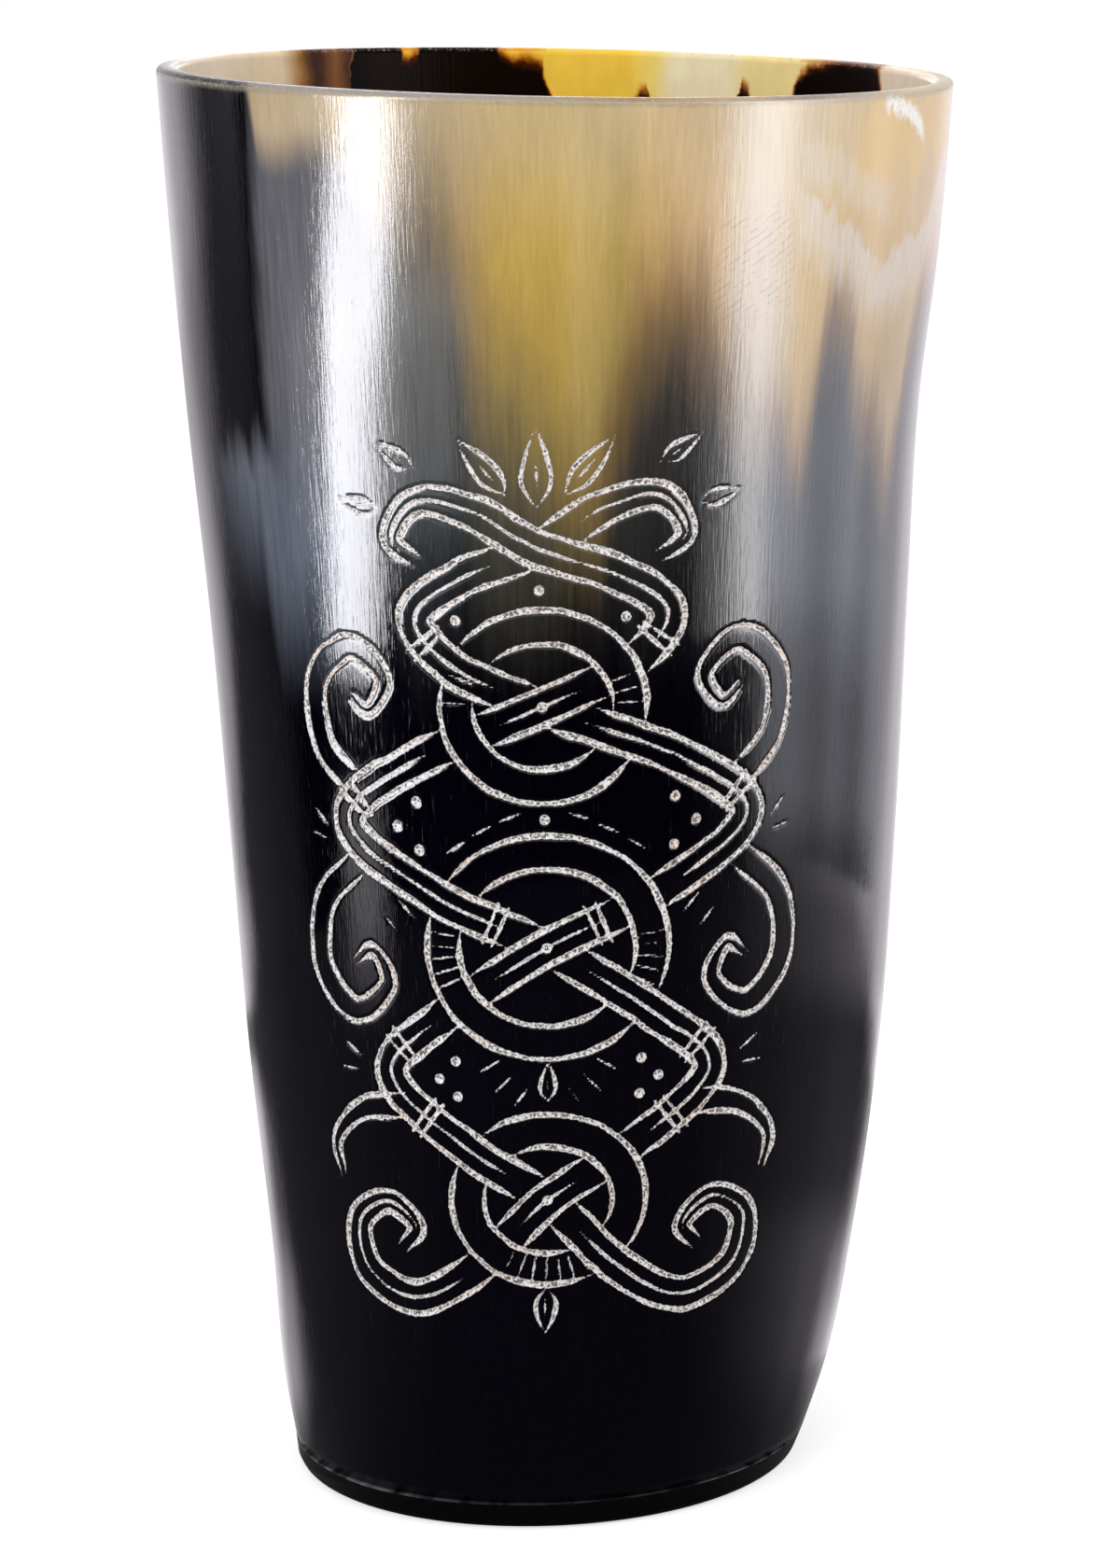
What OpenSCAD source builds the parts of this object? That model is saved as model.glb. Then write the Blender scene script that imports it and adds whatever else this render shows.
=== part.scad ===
// Horn drinking cup: a tapered wall cut from a hollow horn, closed at the foot
// by a horn disc whose plug is glued into the wall. Millimetres, +Z up, origin
// at the centre of the foot. The horn leans a little over its flat foot,
// towards +X, and its rim is cut a little off square the same way.

/* [Cup] */
// Height from the foot to the middle of the rim, along the horn's own axis
cup_h = 150; // [110:1:190]
// Angle by which the horn's axis leans over the flat foot, in degrees
lean = 1.6; // [0:0.1:3]
// How far the horn's axis stands off the foot's centre, towards +X
axis_offset = 1.8; // [0:0.1:2.5]
// Angle by which the rim is cut off square to the horn's axis, in degrees
rim_tilt = 1.3; // [0:0.1:3]

/* [Outside diameters] */
// Outside diameter at the rim
rim_d = 83.1; // [76:0.1:92]
// Outside diameter at the shoulder, below the rim
shoulder_d = 79.7; // [74:0.1:88]
// Outside diameter at the waist, a little above half way up
waist_d = 73.8; // [70:0.1:80]
// Outside diameter at the belly, about a quarter of the way up
belly_d = 66.2; // [63:0.1:72]
// Outside diameter that the horn has at the level of the foot
heel_d = 58.6; // [57:0.1:61]

/* [Wall] */
// Wall thickness at the rim
rim_wall = 2.2; // [1.8:0.1:4]
// Wall thickness at the foot, where the horn is thickest
foot_wall = 5; // [4:0.1:6]
// Radius of the rounded edges of the rim
rim_round = 0.7; // [0.2:0.1:0.8]

/* [Base disc] */
// Diameter that the ground edge of the disc would have at the foot if it were sharp
foot_d = 54; // [51:0.1:56]
// Angle of the ground edge from upright, in degrees
grind_angle = 23; // [15:1:30]
// Radius that rounds the ground edge into the foot
foot_round = 1.2; // [0.4:0.1:2]
// Radius of the curve in which the wall's heel is ground, above the seam
heel_curve = 105; // [95:1:140]
// Height above the seam up to which the heel may be ground
heel_h = 22; // [16:1:24]
// Thickness of the disc's flange, which shows below the seam
flange_t = 3; // [2:0.1:5]
// Height of the disc's plug, which fits inside the wall
plug_h = 3.5; // [2:0.1:8]
// Diameter of the seat that is bored in the wall for the plug
seat_d = 48; // [44:0.1:49]
// Thickness of the film of glue between the disc and the wall
glue_t = 0.15; // [0.08:0.01:0.3]

/* [Hidden] */

// Places of the belly, waist and shoulder, as shares of the cup's height
belly_share = 0.25;
waist_share = 0.6;
shoulder_share = 0.85;

// Faces along each stretch between two named diameters, and round each edge
stretch_steps = 6;
edge_steps = 5;
// Facets that stand for a full circle on screen
$fn = 96;
// How far the horn and the forms run past what cuts them
overrun = 6;

seam_z = flange_t;
wall_z = seam_z + glue_t;
floor_z = seam_z + plug_h;
seat_r = seat_d / 2;
plug_r = seat_r - glue_t;

// Heights and outside radii that the profile runs through, from the foot up
knot_z = [0, cup_h * belly_share, cup_h * waist_share, cup_h * shoulder_share, cup_h];
knot_r = [heel_d, belly_d, waist_d, shoulder_d, rim_d] / 2;
last_knot = len(knot_z) - 1;

// Slope of the outside between knot k and the next one
function chord(k) = (knot_r[k + 1] - knot_r[k]) / (knot_z[k + 1] - knot_z[k]);

// Slope of the smooth profile at knot k, from the chords on both sides of it
function knot_slope(k) =
    k == 0 ? (3 * chord(0) - knot_slope(1)) / 2
    : k == last_knot ? (3 * chord(last_knot - 1) - knot_slope(last_knot - 1)) / 2
    : let (below = knot_z[k] - knot_z[k - 1], above = knot_z[k + 1] - knot_z[k])
      (chord(k - 1) * above + chord(k) * below) / (below + above);

// Stretch of the profile that height z lies in
function stretch_of(z) = max([0, for (k = [0 : last_knot - 1]) if (z >= knot_z[k]) k]);

// Outside radius at height z: a smooth curve through the knots, straight past both ends
function outside_r(z) =
    z < 0 ? knot_r[0] + z * knot_slope(0)
    : z > cup_h ? knot_r[last_knot] + (z - cup_h) * knot_slope(last_knot)
    : let (
        k = stretch_of(z),
        span = knot_z[k + 1] - knot_z[k],
        t = (z - knot_z[k]) / span,
        to_next = t * t * (3 - 2 * t)
      )
      knot_r[k] * (1 - to_next) + knot_r[k + 1] * to_next
      + span * (t * (1 - t) * (1 - t) * knot_slope(k) - t * t * (1 - t) * knot_slope(k + 1));

// Wall thickness at height z, which runs evenly from foot to rim
function wall_at(z) = foot_wall + (rim_wall - foot_wall) * z / cup_h;
function inside_r(z) = outside_r(z) - wall_at(z);

// Radius of the disc's ground edge at height z above the foot
function ground_r(z) = foot_d / 2 + z * tan(grind_angle);

// Points of an arc of radius r, about (x, y), from angle a to angle b
function arc(x, y, r, a, b) =
    [for (i = [0 : edge_steps]) let (t = a + (b - a) * i / edge_steps) [x + r * cos(t), y + r * sin(t)]];

// Heights from the foot to the rim: one for each face of the profile
function heights() =
    [for (k = [0 : last_knot - 1], i = [0 : stretch_steps - 1])
        knot_z[k] + (knot_z[k + 1] - knot_z[k]) * i / stretch_steps];

function reversed(list) = [for (i = [len(list) - 1 : -1 : 0]) list[i]];

// Turns its children from the horn's own axis to the flat foot that it leans over
module leaning() {
    translate([axis_offset, 0, 0]) rotate([0, lean, 0]) children();
}

// The horn's outside as a solid, running past the foot and the rim
module horn_solid() {
    past = [-overrun, cup_h + overrun];
    outside = [for (z = concat([past[0]], heights(), [cup_h, past[1]])) [outside_r(z), z]];
    leaning() rotate_extrude() polygon(concat([[0, past[0]]], outside, [[0, past[1]]]));
}

// The horn's hollow down to the top of the disc, open past the rim
module horn_hollow() {
    above = [for (z = heights()) if (z > floor_z) z];
    inside = [for (z = concat([0], above, [cup_h, cup_h + overrun])) [inside_r(z), z]];
    intersection() {
        leaning() rotate_extrude() polygon(concat([[0, 0]], inside, [[0, cup_h + overrun]]));
        slab(floor_z, cup_h + 2 * overrun);
    }
}

// Everything between two heights above the foot
module slab(low, high) {
    translate([0, 0, low]) cylinder(r = rim_d, h = high - low);
}

// The form that the wall's heel is ground to, from the wall's end up past the rim
module heel_form() {
    top_z = cup_h + overrun;
    end_angle = asin(sin(grind_angle) - heel_h / heel_curve);
    centre_x = ground_r(wall_z) - heel_curve * cos(grind_angle);
    centre_z = wall_z + heel_curve * sin(grind_angle);
    heel = arc(centre_x, centre_z, heel_curve, -grind_angle, -end_angle);
    rotate_extrude() polygon(concat([[0, wall_z]], heel, [[rim_d, top_z], [0, top_z]]));
}

// The form that the disc's edge is ground to, between two heights above the foot
module foot_form(low, high) {
    turn = 90 - grind_angle;
    edge_x = foot_d / 2 - foot_round * tan(turn / 2);
    edge = low > 0 ? [[ground_r(low), low]] : arc(edge_x, foot_round, foot_round, -90, -grind_angle);
    rotate_extrude() polygon(concat([[0, low]], edge, [[ground_r(high), high], [0, high]]));
}

// The form that the rim is cut to: flat, with its two edges rounded
module rim_form() {
    past_wall = rim_round * (1 - cos(45));
    round_z = cup_h - rim_round;
    wide_r = rim_d / 2 + overrun;
    outer = arc(rim_d / 2 + past_wall - rim_round, round_z, rim_round, 0, 90);
    inner = arc(inside_r(cup_h) - past_wall + rim_round, round_z, rim_round, 90, 180);
    leaning()
        translate([0, 0, cup_h]) rotate([0, rim_tilt, 0]) translate([0, 0, -cup_h])
            rotate_extrude()
                polygon(concat([[0, -overrun], [wide_r, -overrun], [wide_r, round_z]], outer, inner, [[0, round_z]]));
}

// The wall: the horn with its hollow, its cut rim, its ground heel and the disc's seat
module horn_wall() {
    color([0.2, 0.17, 0.14])
        difference() {
            intersection() {
                horn_solid();
                rim_form();
                heel_form();
            }
            horn_hollow();
            cylinder(r = seat_r, h = floor_z);
        }
}

// The disc: a flange ground flush with the wall and a plug that fits the wall's seat
module base_disc() {
    color([0.07, 0.065, 0.07])
        union() {
            intersection() {
                horn_solid();
                foot_form(0, seam_z);
            }
            cylinder(r = plug_r, h = floor_z);
        }
}

// The glue: a washer under the wall's end and a sleeve round the plug
module glue_film() {
    color([0.55, 0.5, 0.42])
        difference() {
            union() {
                intersection() {
                    horn_solid();
                    foot_form(seam_z, wall_z);
                }
                translate([0, 0, seam_z]) cylinder(r = seat_r, h = plug_h);
            }
            cylinder(r = plug_r, h = floor_z);
        }
}

horn_wall();
base_disc();
glue_film();
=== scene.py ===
import math
import random

import bpy
import numpy as np
from mathutils import Matrix, Vector


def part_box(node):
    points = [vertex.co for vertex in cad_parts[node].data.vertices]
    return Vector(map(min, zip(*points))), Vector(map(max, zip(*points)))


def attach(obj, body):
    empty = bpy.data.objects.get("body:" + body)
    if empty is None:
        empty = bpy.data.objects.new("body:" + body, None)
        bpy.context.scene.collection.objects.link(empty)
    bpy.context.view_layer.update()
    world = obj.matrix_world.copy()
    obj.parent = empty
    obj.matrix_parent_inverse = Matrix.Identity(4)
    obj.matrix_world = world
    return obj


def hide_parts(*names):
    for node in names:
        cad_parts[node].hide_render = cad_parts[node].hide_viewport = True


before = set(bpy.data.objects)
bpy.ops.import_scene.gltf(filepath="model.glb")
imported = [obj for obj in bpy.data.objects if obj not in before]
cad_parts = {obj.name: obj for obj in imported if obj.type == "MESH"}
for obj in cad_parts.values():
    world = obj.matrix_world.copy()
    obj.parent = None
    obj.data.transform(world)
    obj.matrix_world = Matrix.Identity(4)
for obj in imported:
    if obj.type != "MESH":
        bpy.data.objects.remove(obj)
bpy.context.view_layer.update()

# Lengths below are in millimetres unless a name says otherwise
MM = 0.001
FULL_TURN = 2 * math.pi

# The horn's profile: height above the foot, centre's offset towards +X, outside radius
PROFILE = (
    (3.2, 0.35, 28.05),
    (10, 1.1, 29.7),
    (25, 2.4, 31.7),
    (45, 3.3, 34.0),
    (70, 3.95, 35.7),
    (95, 4.3, 37.15),
    (115, 4.45, 38.6),
    (130, 5.2, 40.1),
    (150, 5.9, 41.55),
)
RIM_Z = 150
RIM_SLOPE = -0.0498
RIM_ROUND = 0.7
RIM_WALL, FOOT_WALL = 2.2, 5.0
SEAT_R = 24.0

SEAM_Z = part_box("horn_wall")[0].z / MM
FLOOR_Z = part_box("base_disc")[1].z / MM

# The wall's grid: columns round it, cells up the outside, and the finer split of a cell with engraving
COLUMNS = 208
OUTSIDE_CELLS = 114
INSIDE_RINGS = 24
SPLIT = 5
FINE_ROWS, FINE_COLUMNS = OUTSIDE_CELLS * SPLIT, COLUMNS * SPLIT

# The scraper's flats: depth, number round the cup, and how far, how slowly and from where they wander
FLATS = ((0.016, 17, 1.6, 31, 0), (0.012, 29, 2.1, 23, 1), (0.007, 37, 1.3, 13, 2))
FLATS_INSET = 0.03


def smooth_through(knot_z, knot_value, z):
    """Values at heights z on a smooth curve through the knots, straight past both ends."""
    knot_z = np.asarray(knot_z, float)
    knot_value = np.asarray(knot_value, float)
    z = np.asarray(z, float)
    last = len(knot_z) - 1
    step = np.diff(knot_z)
    chord = np.diff(knot_value) / step
    slope = np.empty(last + 1)
    slope[1:-1] = (chord[:-1] * step[1:] + chord[1:] * step[:-1]) / (step[:-1] + step[1:])
    slope[0] = (3 * chord[0] - slope[1]) / 2
    slope[last] = (3 * chord[-1] - slope[last - 1]) / 2
    inside = np.clip(z, knot_z[0], knot_z[-1])
    k = np.clip(np.searchsorted(knot_z, inside, side="right") - 1, 0, last - 1)
    t = (inside - knot_z[k]) / step[k]
    to_next = t * t * (3 - 2 * t)
    value = knot_value[k] * (1 - to_next) + knot_value[k + 1] * to_next
    value += step[k] * (t * (1 - t) ** 2 * slope[k] - t * t * (1 - t) * slope[k + 1])
    return value + (z - inside) * np.where(z < knot_z[0], slope[0], slope[last])


PROFILE_Z, PROFILE_X, PROFILE_R = zip(*PROFILE)


def centre_x(z):
    return smooth_through(PROFILE_Z, PROFILE_X, z)


def outside_r(z):
    return smooth_through(PROFILE_Z, PROFILE_R, z)


def wall_at(z):
    return FOOT_WALL + (RIM_WALL - FOOT_WALL) * z / RIM_Z


def top_edge(turn):
    """Height where the outside meets the rim's rounding, at an angle from the front, positive towards +X."""
    return RIM_Z + RIM_SLOPE * outside_r(RIM_Z) * np.sin(turn) - RIM_ROUND


def scraped(turn, z):
    """The shallow upright flats that a scraper leaves on the horn."""
    waves = [depth * np.sin(number * turn + reach * np.sin(z / rise + start))
             for depth, number, reach, rise, start in FLATS]
    return sum(waves) - FLATS_INSET


def ring_at(middle_x, r, turn, z):
    """Points at a radius round an upright axis in the plane y = 0."""
    return np.stack([middle_x + r * np.sin(turn), -r * np.cos(turn), z + 0 * turn], axis=-1)


def on_wall(turn, z, inset=0.0):
    """Points of the wall, inset from its outside."""
    return ring_at(centre_x(z), outside_r(z) - inset, turn, z)


# The engraving is a ring-chain interlace, drawn from the middle of its foot
STRAND = ((-15.9, 8.3), (-14.2, 10.9), (-17.6, 13.4), (-21.4, 10.6), (-20.2, 5.4), (-14, 3.0), (-7.2, 7),
          (0, 14.5), (8.5, 20), (17.0, 27.5), (11, 34), (0, 41.5), (-12, 47), (-21.5, 54), (-14, 60.5),
          (0, 66.5), (9, 70.6), (13, 75.6), (8, 79.6), (0, 82.6), (-6.5, 86.4), (-12.4, 87.4), (-15.2, 83.6),
          (-12.2, 81.2))
TENDRILS = (
    ((-20.6, 57.9), (-24.6, 62), (-25.2, 68.3), (-20.9, 72.2), (-16.8, 69.2), (-18.6, 65.9), (-20.8, 67.5)),
    ((-20.4, 49.8), (-25.2, 45), (-25.8, 38.2), (-21.4, 33.9), (-17.2, 37), (-19.0, 40.6), (-21.3, 39)),
    ((-15.2, 24.2), (-20.6, 23.2), (-24.4, 19.4), (-23.6, 15.2)),
)
# Each ring's centre, half width and half height, where its rows of bars are, and the bars in a row
RINGS = (
    ((0, 41.5), 10.8, 10.0, (0.98, 0.52), 5),
    ((0, 66.5), 8.8, 8.2, (0.03, 0.47), 3),
    ((0, 14.5), 8.4, 7.6, (0.75,), 7),
)
NICKS = (((-5.4, 26.2), (-3.6, 28.0)), ((-3.4, 24.8), (-2.1, 26.6)), ((-6.9, 28.4), (-5.0, 29.6)),
         ((-7.5, 53.2), (-5.2, 54.4)), ((-4.6, 54.8), (-2.4, 55.6)), ((-10.2, 51.4), (-8.2, 52.6)),
         ((-17.6, 44.6), (-16.0, 42.8)), ((-15.8, 46.2), (-14.0, 44.4)),
         ((-24.4, 53.2), (-26.2, 55.0)), ((-24.6, 51.8), (-26.8, 52.2)),
         ((-20.6, 28.9), (-22.8, 30.3)), ((-20.9, 27.4), (-23.2, 27.5)))
DOTS = ((-15.6, 54.0), (-13.2, 51.6), (-13.4, 56.6), (11.4, 27.4), (9.4, 25.6), (9.6, 29.4), (0, 41.5),
        (0, 66.5), (0, 14.5), (-8.6, 75.4), (0, 54.9), (0, 78.4))
# Each leaf's base, tip and bulge
SIDE_LEAVES = [((-2.8, 87.9), (-8.0, 93.8), 1.05), ((-12.4, 90.6), (-17.0, 93.4), 0.8),
               ((-16.5, 86.4), (-21.4, 87.4), 0.75)]
MIDDLE_LEAVES = [((0, 86.6), (0, 94.8), 1.4), ((0, 25.2), (0, 29.4), 0.8), ((0, 4.8), (0, -0.4), 1.0)]
# A leaf's widest places as shares of its length and bulge, and its vein's ends as shares of its length
LEAF_SHARES = ((0.3, 1.0), (0.65, 0.75))
VEIN_SHARES = (0.22, 0.62)
# Where the strands' double bars are, as shares of their length
COLLAR_SHARES = (0.305, 0.355, 0.485, 0.60, 0.79)
# Bars across a ribbon: gap between them, reach past its edges
COLLAR_GAP, COLLAR_OVER = 1.1, 0.5
RING_BAR_GAP, RING_BAR_OVER = 1.3, -0.55

# Half widths of the ribbons, and of the cuts
RIBBON = 1.75
MAIN_CUT, TENDRIL_CUT, BAR_CUT, FINE_CUT, DOT_R = 0.31, 0.28, 0.26, 0.2, 0.55
# How blunt the ends of bars and nicks are, as shares of their width
COLLAR_BLUNT_SHARE, RING_BAR_BLUNT_SHARE, NICK_BLUNT_SHARE, BLUNT_SHARE = 0.6, 0.5, 0.3, 0.2
# A strand's width grows from its ends, and a tendril's from its tip
STRAND_END_SHARE, STRAND_GROWTH = 0.35, 16
TENDRIL_TIP, TENDRIL_SWELL, TENDRIL_GROWTH = 0.35, 1.0, 14
# A strand that shows for this long has a fine line along its middle, which stops some points short
MIDDLE_RUN, MIDDLE_SHORT = 12, 16

# Cuts are lines of points at this distance
CUT_STEP = 0.15
CURVE_POINTS, ELLIPSE_POINTS = 24, 120
# Points that a crossing reaches along a ribbon, the fewest points that a cut is made for, how near two
# ends are one place, and what keeps the sum for parallel lines from dividing by nothing
REACH = 40
SHORTEST_RUN = 7
SAME_PLACE = 0.3
PARALLEL = 1e-12
# How unevenly a cut stops before the ribbon that covers it
STOP_UNEVEN = (-0.25, 0.3)
# The graver's hand: points between its changes, how far it wanders, how that and its swells and beads
# change the width, and the length of a cut's tapered ends
HAND_POINTS = 9
WANDER, WANDER_PRESS = 0.045, 2.4
SWELL, SWELL_RISE = 0.15, 2.3
BEAD, BEAD_WAVES = 0.09, 7.5
ANY_START = (0, 6)
TAPER = 2.6

HAND_SEED, DEPTH_SEED = 7, 5
chance = random.Random(HAND_SEED)


def even_steps(points):
    """The same line with points at even steps."""
    points = np.asarray(points, float)
    along = np.concatenate([[0], np.cumsum(np.hypot(*np.diff(points, axis=0).T))])
    at = np.linspace(0, along[-1], max(int(along[-1] / CUT_STEP), 2))
    return np.stack([np.interp(at, along, points[:, 0]), np.interp(at, along, points[:, 1])], axis=-1)


def curve_through(knots):
    """A smooth line through the knots."""
    knots = np.asarray(knots, float)
    knots = np.vstack([2 * knots[0] - knots[1], knots, 2 * knots[-1] - knots[-2]])
    t = np.linspace(0, 1, CURVE_POINTS, endpoint=False)[:, None]
    spans = []
    for before, start, end, after in zip(knots, knots[1:], knots[2:], knots[3:]):
        bend = (end - before) * t + (2 * before - 5 * start + 4 * end - after) * t ** 2
        spans.append(start + 0.5 * (bend + (3 * start - before - 3 * end + after) * t ** 3))
    spans.append(knots[-2][None])
    return even_steps(np.vstack(spans))


def ellipse(centre, half_w, half_h):
    turn = np.linspace(0, FULL_TURN, ELLIPSE_POINTS)
    x, y = centre
    return even_steps(np.stack([x + half_w * np.cos(turn), y + half_h * np.sin(turn)], axis=-1))


def mirrored(knots):
    return [(-x, y) for x, y in knots]


def both_ways(knots):
    return knots, mirrored(knots)


def edges(line, half, closed=False):
    """The two edges of a ribbon that follows a line."""
    ahead = np.gradient(line, axis=0)
    if closed:
        ahead[0] = ahead[-1] = line[1] - line[-2]
    ahead /= np.hypot(ahead[:, 0], ahead[:, 1])[:, None]
    side = np.stack([-ahead[:, 1], ahead[:, 0]], axis=-1) * np.reshape(half, (-1, 1))
    return line + side, line - side


class Ribbon:
    """A band of the interlace: its middle line, its half width, and where it goes under others."""

    def __init__(self, line, closed=False):
        self.line, self.closed = line, closed
        self.half = np.full(len(line), RIBBON)
        self.under = []


def cross(a, b):
    return a[..., 0] * b[..., 1] - a[..., 1] * b[..., 0]


def crossings(ribbons):
    """Every place where two middle lines cross: (ribbon, point on it, other ribbon, point on that)."""
    found = []
    for first in range(len(ribbons)):
        for second in range(first, len(ribbons)):
            a, b = ribbons[first].line, ribbons[second].line
            step_a, step_b = np.diff(a, axis=0)[:, None], np.diff(b, axis=0)[None]
            gap = b[None, :-1] - a[:-1, None]
            turn = cross(step_a, step_b) + PARALLEL
            on_a, on_b = cross(gap, step_b) / turn, cross(gap, step_a) / turn
            hit = (on_a >= 0) & (on_a < 1) & (on_b >= 0) & (on_b < 1)
            for u, v in zip(*np.nonzero(hit)):
                if first != second or v - u > REACH:
                    found.append((first, u, second, v))
    return found


def neighbours(ribbons, found):
    """For each crossing the next ones along both its ribbons: (which, own side, its side)."""
    visits = [[] for _ in ribbons]
    for number, (first, u, second, v) in enumerate(found):
        visits[first].append((u, number, 0))
        visits[second].append((v, number, 1))
    linked = [[] for _ in found]
    for ribbon, visit in zip(ribbons, visits):
        visit.sort()
        pairs = list(zip(visit, visit[1:]))
        if ribbon.closed and visit:
            pairs.append((visit[-1], visit[0]))
        for (_, one, one_side), (_, other, other_side) in pairs:
            linked[one].append((other, one_side, other_side))
            linked[other].append((one, other_side, one_side))
    return linked


def weave(ribbons):
    """Send each ribbon over and under in turn, and keep where each is under another."""
    found = crossings(ribbons)
    linked = neighbours(ribbons, found)
    top = {}
    for start in range(len(found)):
        if start in top:
            continue
        top[start] = 0
        waiting = [start]
        while waiting:
            number = waiting.pop()
            for other, side, other_side in linked[number]:
                if other not in top:
                    top[other] = 1 - other_side if top[number] == side else other_side
                    waiting.append(other)
    for number, (first, u, second, v) in enumerate(found):
        if top[number] == 0:
            ribbons[second].under.append((v, ribbons[first], u))
        else:
            ribbons[first].under.append((u, ribbons[second], v))


def hidden(edge, ribbon):
    """Which points of an edge lie under another ribbon."""
    cover = np.zeros(len(edge), bool)
    places = np.arange(len(edge))
    for at, over, over_at in ribbon.under:
        near = np.arange(over_at - REACH, over_at + REACH + 1)
        near = near % len(over.line) if over.closed else np.clip(near, 0, len(over.line) - 1)
        apart = np.hypot(*(edge[:, None] - over.line[near][None]).transpose(2, 0, 1)).min(axis=1)
        limit = over.half[over_at] + chance.uniform(*STOP_UNEVEN)
        span = np.abs(places - at)
        if ribbon.closed:
            span = np.minimum(span, len(edge) - span)
        cover |= (apart < limit) & (span < REACH)
    return cover


def visible_runs(edge, cover):
    """The stretches of an edge between the places where it is hidden."""
    runs, run = [], []
    for point, gone in zip(edge, cover):
        if gone:
            runs.append(run)
            run = []
        else:
            run.append(point)
    runs.append(run)
    runs = [np.array(run) for run in runs if len(run) >= SHORTEST_RUN]
    joined = np.allclose(edge[0], edge[-1], atol=SAME_PLACE)
    if len(runs) > 1 and not cover[0] and not cover[-1] and joined:
        runs[0] = np.vstack([runs.pop(), runs[0]])
    return runs


def cut(line, half=MAIN_CUT, blunt=BLUNT_SHARE):
    """One cut of the graver: an unsteady, beaded line that swells and thins, and whose ends taper."""
    line = even_steps(line)
    count = len(line)
    knots = np.arange(max(count // HAND_POINTS, 2))
    at = np.linspace(0, knots[-1], count)
    wander = np.array([[chance.gauss(0, WANDER) for _ in knots] for _ in range(3)])
    line = line + np.stack([np.interp(at, knots, wander[k]) for k in (0, 1)], axis=-1)
    along = np.arange(count) * CUT_STEP
    swell = SWELL * np.sin(along / SWELL_RISE + chance.uniform(*ANY_START))
    beads = BEAD * np.sin(along * BEAD_WAVES + chance.uniform(*ANY_START))
    press = 1 + WANDER_PRESS * np.interp(at, knots, wander[2]) + (swell + beads)
    ends = np.minimum(along, along[::-1])
    return line, half * press * np.clip(blunt + (1 - blunt) * ends / TAPER, 0, 1)


def middle_cuts(strands):
    """Thins the strands towards their ends and draws a fine line along the middle of what shows."""
    cuts = []
    for strand in strands:
        run = np.arange(len(strand.line)) * CUT_STEP
        growth = np.minimum(run, run[::-1]) / STRAND_GROWTH
        strand.half *= np.clip(STRAND_END_SHARE + (1 - STRAND_END_SHARE) * growth, 0, 1)
        for line in visible_runs(strand.line, hidden(strand.line, strand)):
            if len(line) * CUT_STEP > MIDDLE_RUN:
                cuts.append(cut(line[MIDDLE_SHORT:-MIDDLE_SHORT], FINE_CUT))
    return cuts


def edge_cuts(ribbons):
    return [cut(run) for ribbon in ribbons for edge in edges(ribbon.line, ribbon.half, ribbon.closed)
            for run in visible_runs(edge, hidden(edge, ribbon))]


def tendril_cuts():
    cuts = []
    for tendril in TENDRILS:
        for knots in both_ways(tendril):
            line = curve_through(knots)
            from_tip = np.arange(len(line))[::-1] * CUT_STEP
            half = TENDRIL_TIP + TENDRIL_SWELL * np.clip(from_tip / TENDRIL_GROWTH, 0, 1)
            cuts += [cut(edge, TENDRIL_CUT) for edge in edges(line, half)]
    return cuts


def bars_across(ribbon, share, count, gap, over):
    """Short bars across a ribbon at a share of its length, each past the ribbon's edges by over."""
    left, right = edges(ribbon.line, ribbon.half + over, ribbon.closed)
    middle = share * (len(ribbon.line) - 1)
    places = [int(middle + (k - (count - 1) / 2) * gap / CUT_STEP) for k in range(count)]
    return [(left[k % len(left)], right[k % len(left)]) for k in places]


def collar_cuts(strands):
    return [cut(bar, BAR_CUT, COLLAR_BLUNT_SHARE) for strand in strands for share in COLLAR_SHARES
            for bar in bars_across(strand, share, 2, COLLAR_GAP, COLLAR_OVER)]


def ring_bar_cuts(rings):
    return [cut(bar, FINE_CUT, RING_BAR_BLUNT_SHARE)
            for ring, (*_, shares, count) in zip(rings, RINGS) for share in shares
            for bar in bars_across(ring, share, count, RING_BAR_GAP, RING_BAR_OVER)]


def nick_cuts():
    return [cut(ends, TENDRIL_CUT, NICK_BLUNT_SHARE) for nick in NICKS for ends in both_ways(nick)]


def leaf(base, tip, bulge):
    """The two sides of a pointed leaf and its vein."""
    base, tip = np.array(base, float), np.array(tip, float)
    ahead = tip - base
    side = np.array([-ahead[1], ahead[0]]) / np.hypot(*ahead)
    sides = [curve_through([base, *(base + share * ahead + width * way * bulge * side
                                    for share, width in LEAF_SHARES), tip]) for way in (-1, 1)]
    return sides + [np.array([base + share * ahead for share in VEIN_SHARES])]


def leaf_cuts():
    other_side = [(*mirrored([base, tip]), bulge) for base, tip, bulge in SIDE_LEAVES]
    return [cut(line, BAR_CUT) for place in SIDE_LEAVES + other_side + MIDDLE_LEAVES for line in leaf(*place)]


def dot_cuts():
    return [(np.array([(side, y)]), np.array([DOT_R])) for x, y in DOTS for side in {x, -x}]


def draw_interlace():
    """Every cut of the engraving, as its line and its half width at each point."""
    strands = [Ribbon(curve_through(knots)) for knots in both_ways(STRAND)]
    rings = [Ribbon(ellipse(*ring[:3]), closed=True) for ring in RINGS]
    weave(strands + rings)
    return (middle_cuts(strands) + edge_cuts(strands + rings) + tendril_cuts() + collar_cuts(strands)
            + ring_bar_cuts(rings) + nick_cuts() + leaf_cuts() + dot_cuts())


# Where the engraving's foot is on the wall, how deep it is, and how steeply its sides fall
ENGRAVING_FOOT_Z = 23.0
ENGRAVING_ASIDE = -2.0
ENGRAVING_DEPTH = 0.26
GROOVE_SLOPE = 0.8
# How the depth varies, how wide a strip beside a cut gets the fine grid, and the mark of no cut
DEPTH_SHARES = (0.7, 1.15)
MARGIN = 0.16
UNCUT = -1.0


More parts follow.
